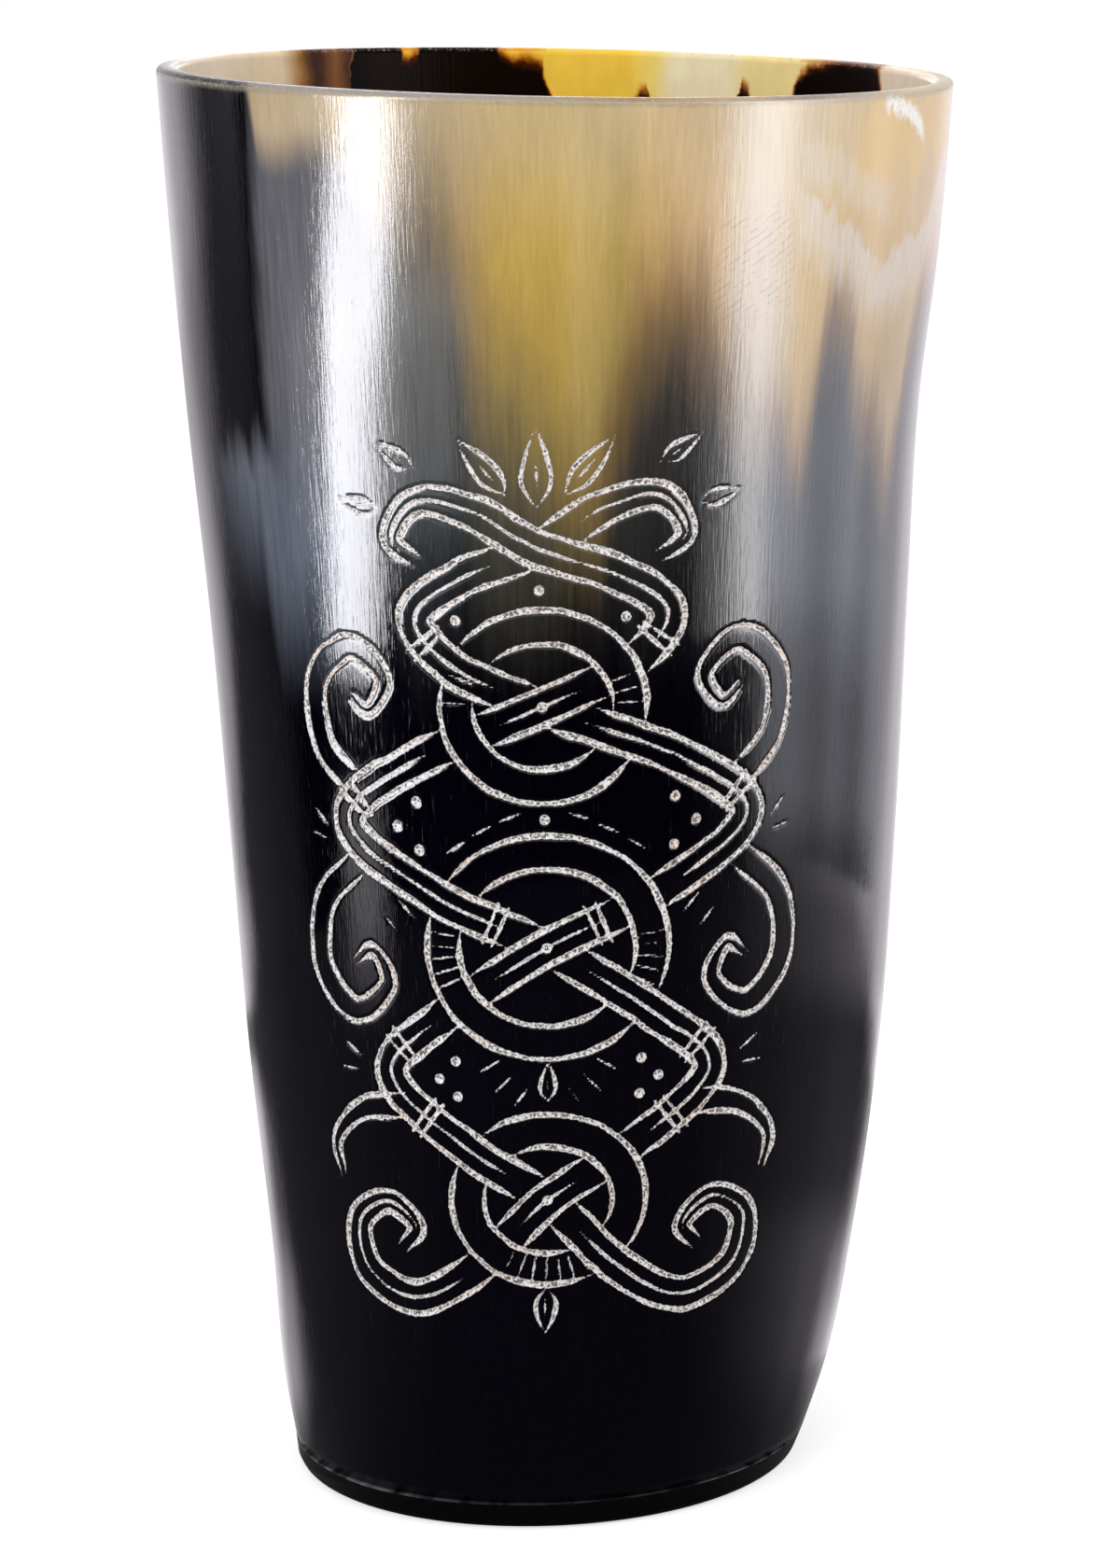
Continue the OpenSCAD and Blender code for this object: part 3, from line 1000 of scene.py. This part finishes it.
def inside_pigment(horn, soft, waves):
    """Lit amber and cream with blotches of brown-black, whose edges glow brown and wave by some mm."""
    turn = (horn.noise(horn.skin, *BLOTCH_NOISE) - 0.5) * BLOTCH_TURN + horn.turn
    ragged = (horn.noise(horn.skin, *WAVE_NOISE) - 0.5) * waves + horn.z
    lightness = ((ragged - height_at(turn, DARK_TOP_INSIDE)) / soft).fade(-1, 1)
    light = horn.tinted(turn.ramp(LIGHT_INSIDE, ROUND), streaks(horn, CLOUDS) + CLOUD_LEVEL)
    colour = horn.tinted(light, lightness.ramp(BLOTCH_VEIL))
    deep = horn.calc("ADD", streaks(horn, DEEP_STREAKS), DEEP_LEVEL, clamp=True)
    return horn.mix(deep * horn.z.fade(*DEEP_HEIGHTS), colour, DEEP_BROWN)


# Noise that brushes the bands and dabs the spot: how many times longer than wide, scale, detail, roughness
BRUSHED, BRUSHED_FADE = (8.0, 1.8, 4.0, 0.65), (0.32, 0.60)
DABS, DABS_FADE, DABS_REACH = (1.5, 0.9, 4.0, 0.65), (-0.16, -0.04), 3.2
UPPER_SHARE = 0.55


def band_at(horn, band, turns, reach, tatters):
    """A rubbed band that runs round the cup at the heights given, tattered by a few mm up and down."""
    before, after = BAND_AWAY
    aside = tatters + (horn.z - height_at(horn.turn, before + band + after))
    low, high = reach
    return aside.window(low, low / 4, high / 4, high) * horn.turn.window(*turns)


def scuffs(horn):
    """The milky bands on the right, and a rubbed spot above them under the rim."""
    ticks = streaks(horn, TICKS)
    band = band_at(horn, MILKY_BAND, MILKY_TURNS, MILKY_REACH, ticks)
    upper = band_at(horn, UPPER_BAND, UPPER_TURNS, UPPER_REACH, ticks) * UPPER_SHARE
    brushed = drawn_out(horn, horn.skin, *BRUSHED).fade(*BRUSHED_FADE)
    dabs = drawn_out(horn, horn.skin, *DABS) - 0.5
    spot = band_at(horn, RUBBED_SPOT, SPOT_TURNS, SPOT_REACH, dabs * DABS_REACH)
    return band.or_more(upper) * (brushed * 0.5 + 0.5), spot * dabs.fade(*DABS_FADE)


SCRATCH_WAVE, SCRATCH_WAVE_NOISE = 1.6, (0.25, 2.0)
SCRATCH_BREAK_NOISE, SCRATCH_BREAK = (0.8, 3.0, 0.6), (0.44, 0.56)


def cross_scratches(horn):
    """Fine parallel scratches that rise to the right."""
    along = horn.turn * (math.radians(1) * FIBRE_R)
    level = horn.z * (math.cos(SCRATCH_RISE) / SCRATCH_GAP) - along * (math.sin(SCRATCH_RISE) / SCRATCH_GAP)
    level = horn.noise(horn.skin, *SCRATCH_WAVE_NOISE) * SCRATCH_WAVE + level
    off_line = abs(horn.calc("FRACT", level) - 0.5)
    broken = horn.noise(horn.skin, *SCRATCH_BREAK_NOISE).fade(*SCRATCH_BREAK)
    here = horn.turn.window(*SCRATCH_TURNS) * horn.z.window(*SCRATCH_HEIGHTS)
    return off_line.fade(*SCRATCH_HALF) * broken * here


# Dust in the cuts and a dark line along their edges: noise and how far each kind of it reaches
CUT_NOISE, CUT_RAGGED, CUT_EDGE = (4.0, 4.0, 0.65), 0.34, (-0.01, 0.05)
SPECKLE_NOISE, SPECKLE_FADE = (2.9, 3.0, 0.7), (0.455, 0.53)
DARK_EDGE_LINE, DARK_EDGE_LINE_FADE, DARK_EDGE_LINE_SHARE = 0.06, (0.10, 0.02), 0.6
ROSE_NOISE, ROSE_FADE, ROSE_SHARE = (0.12, 2.0), (0.52, 0.66), 0.6


def dusty_cuts(horn):
    """Where the cuts are, and the pale dust in them, speckled dark, with a dark line along their edges."""
    cut_depth = horn.value("ShaderNodeAttribute", {}, "Fac", attribute_name="cut")
    ragged = (horn.noise(horn.skin, *CUT_NOISE) - 0.5) * CUT_RAGGED + cut_depth
    line = abs(cut_depth - DARK_EDGE_LINE).fade(*DARK_EDGE_LINE_FADE)
    speckle = horn.noise(horn.skin, *SPECKLE_NOISE).fade(*SPECKLE_FADE).or_more(line * DARK_EDGE_LINE_SHARE)
    rose = horn.noise(horn.skin, *ROSE_NOISE).fade(*ROSE_FADE) * ROSE_SHARE
    return ragged.fade(*CUT_EDGE), horn.mix(speckle, CUT_DARK, horn.mix(rose, DUST_WHITE, DUST_ROSE))


# How much of each scuff's colour shows, and how rough it is
BAND_SHARE, SPOT_SHARE, SCRATCH_SHARE = 0.58, 0.95, 0.45
RIM_RUBBED, RIM_NICK_NOISE, RIM_NICKS, RIM_SHARES = (1.1, 0.5), (2.6, 3.0, 0.7), (0.45, 0.62), (0.45, 0.4)
POLISHED, FIBRE_ROUGH, HAIR_ROUGH, HAIR_FADE = 0.052, 0.10, 0.26, (0.10, 0.26)
SCUFF_ROUGH, BAND_ROUGH_SHARE, SCRATCH_ROUGH_SHARE, RIM_ROUGH, CUT_ROUGH = 0.25, 0.3, 0.4, 0.3, 0.55
HAIR_BUMP_SHARE, OUTSIDE_BUMP = 0.6, 0.016


def outside_material():
    horn = HornShader("horn_outside")
    bands, spot = scuffs(horn)
    scratches = cross_scratches(horn)
    colour = horn.mix(bands * BAND_SHARE, outside_pigment(horn), RUBBED_WHITE)
    colour = horn.mix(spot * SPOT_SHARE, colour, SPOT_WHITE)
    colour = horn.mix(scratches * SCRATCH_SHARE, colour, SCRATCH_BROWN)
    even, nicked = RIM_SHARES
    rubbed = horn.noise(horn.skin, *RIM_NICK_NOISE).fade(*RIM_NICKS) * nicked + even
    rubbed = horn.below_rim.fade(*RIM_RUBBED) * rubbed
    colour = horn.mix(rubbed, colour, RUBBED_RIM)
    in_cut, dust = dusty_cuts(horn)
    colour = horn.mix(in_cut, colour, dust)

    fibre, hair = streaks(horn, FIBRE), streaks(horn, HAIR)
    scuff = (bands * BAND_ROUGH_SHARE).or_more(spot) + scratches * SCRATCH_ROUGH_SHARE
    roughness = fibre * FIBRE_ROUGH + POLISHED + hair.fade(*HAIR_FADE) * HAIR_ROUGH
    roughness = roughness + scuff * SCUFF_ROUGH + rubbed * RIM_ROUGH + in_cut * CUT_ROUGH
    return horn.finish(colour, roughness, bump=hair * HAIR_BUMP_SHARE + fibre, bump_depth=OUTSIDE_BUMP)


def inside_material():
    horn = HornShader("horn_inside")
    colour = inside_pigment(horn, soft=1.3, waves=1.8)
    return horn.finish(colour, roughness=0.32, gloss=0.02, bump=streaks(horn, INSIDE_FIBRE), bump_depth=0.04)


LIP_FRONT_TURNS = (-108, -96, 96, 108)
PIT_NOISE, PIT_FADE, PIT_SHARE = (2.4, 4.0, 0.7), (0.50, 0.66), 0.45


def lip_material():
    """The sawn edge: its own colours in front, the inside's behind, and pale pits."""
    horn = HornShader("horn_lip")
    in_front = horn.turn.window(*LIP_FRONT_TURNS)
    colour = horn.mix(in_front, inside_pigment(horn, soft=2.6, waves=0.5), horn.turn.ramp(LIP_FRONT, ROUND))
    pits = horn.noise(horn.place, *PIT_NOISE).fade(*PIT_FADE)
    colour = horn.mix(pits * PIT_SHARE, colour, LIP_PALE)
    bump = horn.noise(horn.place, scale=3.0, detail=4.0)
    return horn.finish(colour, roughness=0.5, gloss=0.06, bump=bump, bump_depth=0.03)


BASE_GRAIN = (3.0, 0.5, 4.0, 0.6)
BASE_ROUGH, BASE_GRAIN_ROUGH = 0.20, 0.16


def base_material():
    horn = HornShader("base_black")
    grain = drawn_out(horn, horn.place, *BASE_GRAIN)
    colour = horn.mix(grain, BASE_DARK, BASE_LIGHT)
    bump = horn.noise(horn.place, scale=1.5, detail=5.0, roughness=0.65)
    roughness = grain.scaled(BASE_GRAIN_ROUGH, BASE_ROUGH)
    return horn.finish(colour, roughness, gloss=0.2, bump=bump, bump_depth=0.02)


# The seam's pale line: the distances over which its painted highlight grows towards the sides, the specks'
# share everywhere, and the painted highlight's share at the sides
GLUE_SHEEN_SIDES, GLUE_SHARE, GLUE_SHEEN_SHARE = (8.0, 24.0), 0.15, 0.75
GLUE_NOISE, GLUE_FADE = (0.35, 3.0, 0.6), (0.38, 0.58)


def glue_material():
    """Dark glue with pale specks along the seam, and a painted highlight that makes the line paler towards
    both sides.
    """
    horn = HornShader("glue_dark")
    line = horn.noise(horn.skin, *GLUE_NOISE).fade(*GLUE_FADE)
    # Pale specks, made paler towards both sides by a painted highlight
    pale = line * (abs(horn.x).fade(*GLUE_SHEEN_SIDES) * GLUE_SHEEN_SHARE + GLUE_SHARE)
    colour = horn.mix(pale, GLUE_DARK, GLUE_PALE_AND_SHEEN)
    bump = horn.noise(horn.place, scale=2.0, detail=4.0)
    return horn.finish(colour, roughness=0.45, gloss=0.3, bump=bump, bump_depth=0.03)


wall = build_wall([outside_material(), lip_material(), inside_material()])
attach(wall, "root")
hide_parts("horn_wall")

for name, material in (("base_disc", base_material()), ("glue_film", glue_material())):
    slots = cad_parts[name].data.materials
    slots.clear()
    slots.append(material)

# The photograph's camera, fitted to the rim, the seam, the foot and the sides
IMAGE_H = 1680
CAMERA_FOCAL_PX = 5377.7
CAMERA_AT = (3.75, -527.4, 182.6)
CAMERA_PITCH = 0.2029
CAMERA_ROLL = -0.0343
SENSOR = 36
CLIP_START_M = 0.01


def make_camera():
    data = bpy.data.cameras.new("camera")
    data.sensor_width = SENSOR
    data.lens = CAMERA_FOCAL_PX * SENSOR / IMAGE_H
    data.clip_start = CLIP_START_M
    camera = bpy.data.objects.new("camera", data)
    camera.matrix_world = (Matrix.Translation(Vector(CAMERA_AT) * MM)
                           @ Matrix.Rotation(math.pi / 2 - CAMERA_PITCH, 4, "X")
                           @ Matrix.Rotation(CAMERA_ROLL, 4, "Z"))
    bpy.context.collection.objects.link(camera)
    bpy.context.scene.camera = camera


make_camera()

# Two standing lamps, by bearing in degrees from the front, and one overhead that leans a little
LAMP_SIZE, LAMP_AWAY, LAMP_Z = (500, 550), 600, 425
KEY_BEARING, KEY_BRIGHTNESS = -35, 1.6
FILL_BEARING, FILL_BRIGHTNESS = 60, 1.15
OVER_SIZE, OVER_AT, OVER_TIP, OVER_BRIGHTNESS = (300, 300), (0, -150, 620), -0.2, 1.6


def lamp(name, size, place, tip, turn, brightness):
    """A flat lamp that lights colours, and makes no highlight of its own."""
    data = bpy.data.lights.new(name, "AREA")
    data.shape = "RECTANGLE"
    data.size, data.size_y = (length * MM for length in size)
    data.energy = brightness * math.pi * data.size * data.size_y
    made = bpy.data.objects.new(name, data)
    made.location = Vector(place) * MM
    made.rotation_euler = (tip, 0, turn)
    made.visible_camera = False
    made.visible_glossy = False
    bpy.context.collection.objects.link(made)


def standing_lamp(name, bearing, brightness):
    turn = math.radians(bearing)
    place = ring_at(0, LAMP_AWAY, turn, LAMP_Z)
    lamp(name, LAMP_SIZE, place, math.pi / 2, turn, brightness)


standing_lamp("key", KEY_BEARING, KEY_BRIGHTNESS)
standing_lamp("fill", FILL_BEARING, FILL_BRIGHTNESS)
lamp("over", OVER_SIZE, OVER_AT, OVER_TIP, 0, OVER_BRIGHTNESS)

WHITE = (1, 1, 1)
FLOOR_GREY, FLOOR_GLOW = (0.85, 0.85, 0.85), 0.60


def floor_material():
    """A white floor that the camera sees at full white, with the cup's soft shadow left on it."""
    floor = Shader("floor")
    floor.feed(floor.surface["Emission Color"], WHITE)
    floor.feed(floor.surface["Emission Strength"],
               floor.value("ShaderNodeLightPath", {}, "Is Camera Ray") * FLOOR_GLOW)
    return floor.finish(FLOOR_GREY, roughness=0.9, gloss=0.0)


LEFT_TINT = (0.99, 0.99, 1.04)
STRIP_TINT = (1.0, 0.985, 0.985)
RIGHT_TINT = (0.96, 0.98, 1.09)
TABLE_TINT = (1.03, 0.97, 1.04)

# What polished horn reflects is placed by bearing, in degrees from the front, by height, and on the table
# by distance. The left box's two upright edges: height, and the bearing of the edge there
LEFT_EDGE_HEIGHTS, LEFT_EDGE_BEARINGS = (0, 130), (-90, -30)
LEFT_OUTER_EDGE = ((0, -73), (20, -74), (37, -74.5), (44, -73.4), (55, -72.2), (63, -71.4), (73, -69.9),
                   (87, -67.8), (106, -63.2), (118, -59.1), (130, -57))
LEFT_INNER_EDGE = ((0, -61.5), (21, -61.5), (33, -58.5), (38, -56), (45, -53.4), (54, -53), (63, -52.3),
                   (71, -50.3), (83, -47.4), (93, -44.3), (103, -42.5), (130, -41))
LEFT_BOX_GLOW, LEFT_SKIRT_GLOW, LEFT_FOOT_GLOW = 19.0, 1.6, 2.1
# The right box's brightness: bearing and glow, high up and low down
RIGHT_BEARINGS, RIGHT_GLOWS = (40, 130), (0, 12)
RIGHT_GLOW_HIGH = ((43, 1.6), (48, 4.5), (54, 9.5), (60, 10.5), (65, 8.5), (70, 5.4), (76, 4.2), (85, 2.6),
                   (91, 2.4), (98, 3), (104, 2.5), (110, 1.6), (118, 1.7), (126, 1.4))
RIGHT_GLOW_LOW = ((43, 0), (52, 0.1), (58, 0.15), (62, 0.35), (65, 1.2), (68, 1.95), (74, 2.1), (80, 1.75),
                  (85, 1.35), (92, 1.2), (98, 1.55), (106, 0.8), (112, 0.95), (118, 1.15), (126, 1.15))
# The white room behind the cup: distance on the table, and the bearing where it starts or how bright it is
ROOM_DISTANCES, ROOM_STARTS, ROOM_GLOWS = (25, 1500), (80, 150), (0, 1.6)
LEFT_ROOM_START = ((30, 92), (37, 98), (53, 104.5), (72, 114), (102, 132), (140, 138), (190, 148),
                   (218, 144), (250, 140), (300, 146), (400, 141), (600, 135), (1300, 129))
LEFT_ROOM_GLOW = ((30, 0.5), (37, 0.78), (50, 1.12), (75, 1.08), (102, 0.88), (140, 1.05), (163, 0.95),
                  (178, 0.5), (190, 0.32), (203, 0.7), (216, 1.15), (400, 1.1), (600, 1.0), (870, 0.82),
                  (1300, 1.27))
RIGHT_ROOM_START = ((30, 86), (36, 91), (49, 102), (65, 114), (97, 133), (132, 140), (155, 142), (180, 135),
                    (205, 127), (240, 120), (1300, 118))
RIGHT_ROOM_GLOW = ((30, 0.22), (36, 0.30), (42, 0.52), (49, 1.05), (65, 1.0), (97, 0.78), (120, 0.57),
                   (135, 0.55), (150, 1.1), (180, 1.3), (205, 1.15), (300, 1.2), (1300, 1.3))
# Over how many degrees the room starts, how many more near the cup, and how much dimmer it is straight behind
ROOM_SOFT, ROOM_SOFT_NEAR, ROOM_NEAR = 13.0, 6.0, (110, 60)
ROOM_MIDDLE, ROOM_DIM = (148, 172), 0.22
# Glowing patches of the table: brightness, and the distances and bearings within which each lies
FRONT_PATCHES = ((0.8, (320, 2100), (-128, -84)),)
SIDE_PATCHES = ((0.06, (245, 225), (25, 85)), (0.11, (225, 245), (64, 84)))
CLOSE_GLOW, CLOSE_DISTANCES = 0.04, (245, 225)
LEFT_PATCHES = ((1.575, (180, 245), (-76, -72, -62, -59)),)
RIGHT_PATCHES = ((0.26, (28, 56, 74, 100), (40, 98, 106, 130)), (0.10, (30, 60), (40, 98, 106, 130)),
                 (0.45, (160, 205), (42, 115)), (0.50, (215, 250), (60, 68)))
RIGHT_PATCHES_END = (135, 120)


class GlowShader(Shader):
    """Light that only polished horn reflects."""

    def __init__(self, name):
        super().__init__(name)
        self.turn = self.turn_at(self.x)
        self.distance = self.vector("LENGTH", self.place, output="Value")

    def by_distance(self, stops, spread):
        """A number that follows the logarithm of the distance on the table."""
        stops = [(math.log10(distance), number) for distance, number in stops]
        reach = [math.log10(distance) for distance in ROOM_DISTANCES]
        return self.calc("LOGARITHM", self.distance, 10.0).curve(stops, reach, spread)


def white_room(table, bearing, start, glow):
    """The room on one side of the cup: 0 in front of its start, bright behind it."""
    past = bearing - table.by_distance(start, ROOM_STARTS)
    started = (past / (table.distance.fade(*ROOM_NEAR) * ROOM_SOFT_NEAR + ROOM_SOFT)).fade(-1, 1)
    middle = abs(table.turn).fade(*ROOM_MIDDLE)
    return started * table.by_distance(glow, ROOM_GLOWS) * (1.0 - middle * ROOM_DIM)


def patches(table, bearing, rows):
    total = 0.0
    for glow, distances, bearings in rows:
        total = (table.distance.within(distances) * bearing.within(bearings)).scaled(glow, total)
    return total


def dark_table_material():
    """The table as polished horn reflects it: black near the cup, white far off and behind."""
    table = GlowShader("dark_table")
    front = patches(table, table.turn, FRONT_PATCHES) + patches(table, abs(table.turn), SIDE_PATCHES)
    front = front + table.distance.fade(*CLOSE_DISTANCES) * CLOSE_GLOW
    left_room = white_room(table, table.turn * -1.0, LEFT_ROOM_START, LEFT_ROOM_GLOW)
    right_room = white_room(table, table.turn, RIGHT_ROOM_START, RIGHT_ROOM_GLOW)
    look = left_room.or_more(right_room).or_more(front) + patches(table, table.turn, LEFT_PATCHES)
    right = patches(table, table.turn, RIGHT_PATCHES) * table.turn.fade(*RIGHT_PATCHES_END)
    return table.shine(look + right, TABLE_TINT)


# The left box: how far its edges waver, how sharp they are, and the dim skirt of light beside them
EDGE_NOISE, EDGE_WAVER = (0.09, 3.0), 2.4
OUTER_SHARP, INNER_SHARP = (-0.7, 0.7), (1.0, -1.0)
SKIRT_OUTER, SKIRT_INNER, SKIRT_HEIGHTS = (-17, -1), (14, 0), (60, 90)
FLANK_OUTER, FLANK_GLOW, FLANK_INNER, FLANK_HEIGHTS = (-14, -3), 0.8, (14, 4, 4, 0), (44, 54, 78, 92)
SEAM_INNER, SEAM_HEIGHTS, SEAM_GLOW = (7, 1, 1, -1), (36, 42), 1.2
SLANT_BEARING, SLANT = -66.0, 0.55
BOX_FOOT, FOOT_GLOW_HEIGHTS = (31.8, 34.2), (22, 16)


def left_box_material():
    """A tall box of light on the left, with wavering edges and a slanting foot."""
    box = GlowShader("left_box")
    waver = (box.noise(box.join(0.0, 0.0, box.z), *EDGE_NOISE) - 0.5) * EDGE_WAVER
    past_outer, past_inner = [waver + box.turn - box.z.curve(edge, LEFT_EDGE_HEIGHTS, LEFT_EDGE_BEARINGS)
                              for edge in (LEFT_OUTER_EDGE, LEFT_INNER_EDGE)]
    full = past_outer.fade(*OUTER_SHARP) * past_inner.fade(*INNER_SHARP)
    skirt = past_outer.fade(*SKIRT_OUTER) * past_inner.fade(*SKIRT_INNER) * box.z.fade(*SKIRT_HEIGHTS)
    flanks = past_outer.fade(*FLANK_OUTER) * FLANK_GLOW + past_inner.window(*FLANK_INNER)
    skirt = flanks * box.z.window(*FLANK_HEIGHTS) + skirt
    skirt = past_inner.window(*SEAM_INNER) * box.z.fade(*SEAM_HEIGHTS) * SEAM_GLOW + skirt
    slant = (SLANT_BEARING - box.turn).or_more(0.0) * SLANT
    glow = (box.z - slant).fade(*BOX_FOOT) * LEFT_BOX_GLOW + box.z.fade(*FOOT_GLOW_HEIGHTS) * LEFT_FOOT_GLOW
    return box.shine(full * glow + skirt * LEFT_SKIRT_GLOW, LEFT_TINT)


# The right box: bearings where its bright strip ends, heights of its foot there and beyond, and its lean
STRIP_END, STRIP_FOOT, BEYOND_FOOT = (63, 69), (31.8, 34.8), (26, 50)
LEAN_HEIGHTS, LEAN_BEARINGS, LEAN = (76, 50), (62, 48), 5.0
LOW_HEIGHTS, LOW_SHARE = (0, 16), 0.4


def right_box_material():
    """A bright strip on the right that goes over into a wide, dimmer box beyond it."""
    box = GlowShader("right_box")
    beyond = box.turn.fade(*STRIP_END)
    rise = box.z.fade(*BEYOND_FOOT) * beyond + box.z.fade(*STRIP_FOOT) * (1.0 - beyond)
    lean = box.z.fade(*LEAN_HEIGHTS) * box.turn.fade(*LEAN_BEARINGS) * LEAN
    high = (box.turn - lean).curve(RIGHT_GLOW_HIGH, RIGHT_BEARINGS, RIGHT_GLOWS) * rise
    low = box.turn.curve(RIGHT_GLOW_LOW, RIGHT_BEARINGS, RIGHT_GLOWS) * (1.0 - rise)
    low = low * (box.z.fade(*LOW_HEIGHTS) * (1 - LOW_SHARE) + LOW_SHARE)
    return box.shine(high + low, box.mix(beyond, STRIP_TINT, RIGHT_TINT))


BACK_BOX_GLOW, BACK_BOX_HEIGHTS = 8.0, (2, 60)


def back_box_material():
    box = GlowShader("back_box")
    return box.shine(box.z.fade(*BACK_BOX_HEIGHTS) * BACK_BOX_GLOW, WHITE)


def seen_in_gloss_only(card):
    card.visible_camera = False
    card.visible_diffuse = False
    card.visible_shadow = False
    card.visible_transmission = False


BOX_AWAY, BOX_H = 240, 260
# Each box's bearings, its material and the uprights along it
BOXES = (("left_box", -96, -27, left_box_material, 13), ("right_box", 43, 126, right_box_material, 22),
         ("back_box", 168, 192, back_box_material, 13))


def curved_card(name, start, end, material, uprights):
    """A standing strip of a cylinder round the cup, from one bearing to another."""
    bearings = np.radians(np.linspace(start, end, uprights))
    points = np.vstack([ring_at(0, BOX_AWAY, bearings, z) for z in (0, BOX_H)])
    faces = [(k, k + 1, uprights + k + 1, uprights + k) for k in range(uprights - 1)]
    seen_in_gloss_only(mesh_object(name, points, faces, [material()]))


for box in BOXES:
    curved_card(*box)

# The floor and the glow on it lie apart from each other and below the foot, so that none coincide
STAGE_HALF, FLOOR_AT, TABLE_AT = 3000, -0.05, -0.02


def flat_square(name, half, z, material):
    corners = [(-half, -half, z), (half, -half, z), (half, half, z), (-half, half, z)]
    return mesh_object(name, corners, [(0, 1, 2, 3)], [material])


flat_square("floor", STAGE_HALF, FLOOR_AT, floor_material())
seen_in_gloss_only(flat_square("dark_table", STAGE_HALF, TABLE_AT, dark_table_material()))

ROOM_LIGHT = 0.55


def make_world():
    """Full white for what is seen straight, mirrored or through the cup, softer for its light."""
    world = bpy.data.worlds.new("world")
    world.use_nodes = True
    sky = Nodes(world.node_tree)
    rays = sky.node("ShaderNodeLightPath", {}).outputs
    straight, glossy, through = [Value(sky, rays[kind]) for kind in
                                 ("Is Camera Ray", "Is Glossy Ray", "Is Transmission Ray")]
    soft = world.node_tree.nodes["Background"]
    sky.feed(soft.inputs["Color"], WHITE)
    sky.feed(soft.inputs["Strength"], ROOM_LIGHT)
    full = sky.value("ShaderNodeBackground", {"Color": WHITE, "Strength": 1.0})
    seen = straight.or_more(glossy).or_more(through)
    mixed = sky.value("ShaderNodeMixShader", {0: seen, 1: Value(sky, soft.outputs[0]), 2: full})
    sky.feed(world.node_tree.nodes["World Output"].inputs["Surface"], mixed)
    bpy.context.scene.world = world


make_world()
bpy.context.scene.view_settings.view_transform = "Standard"
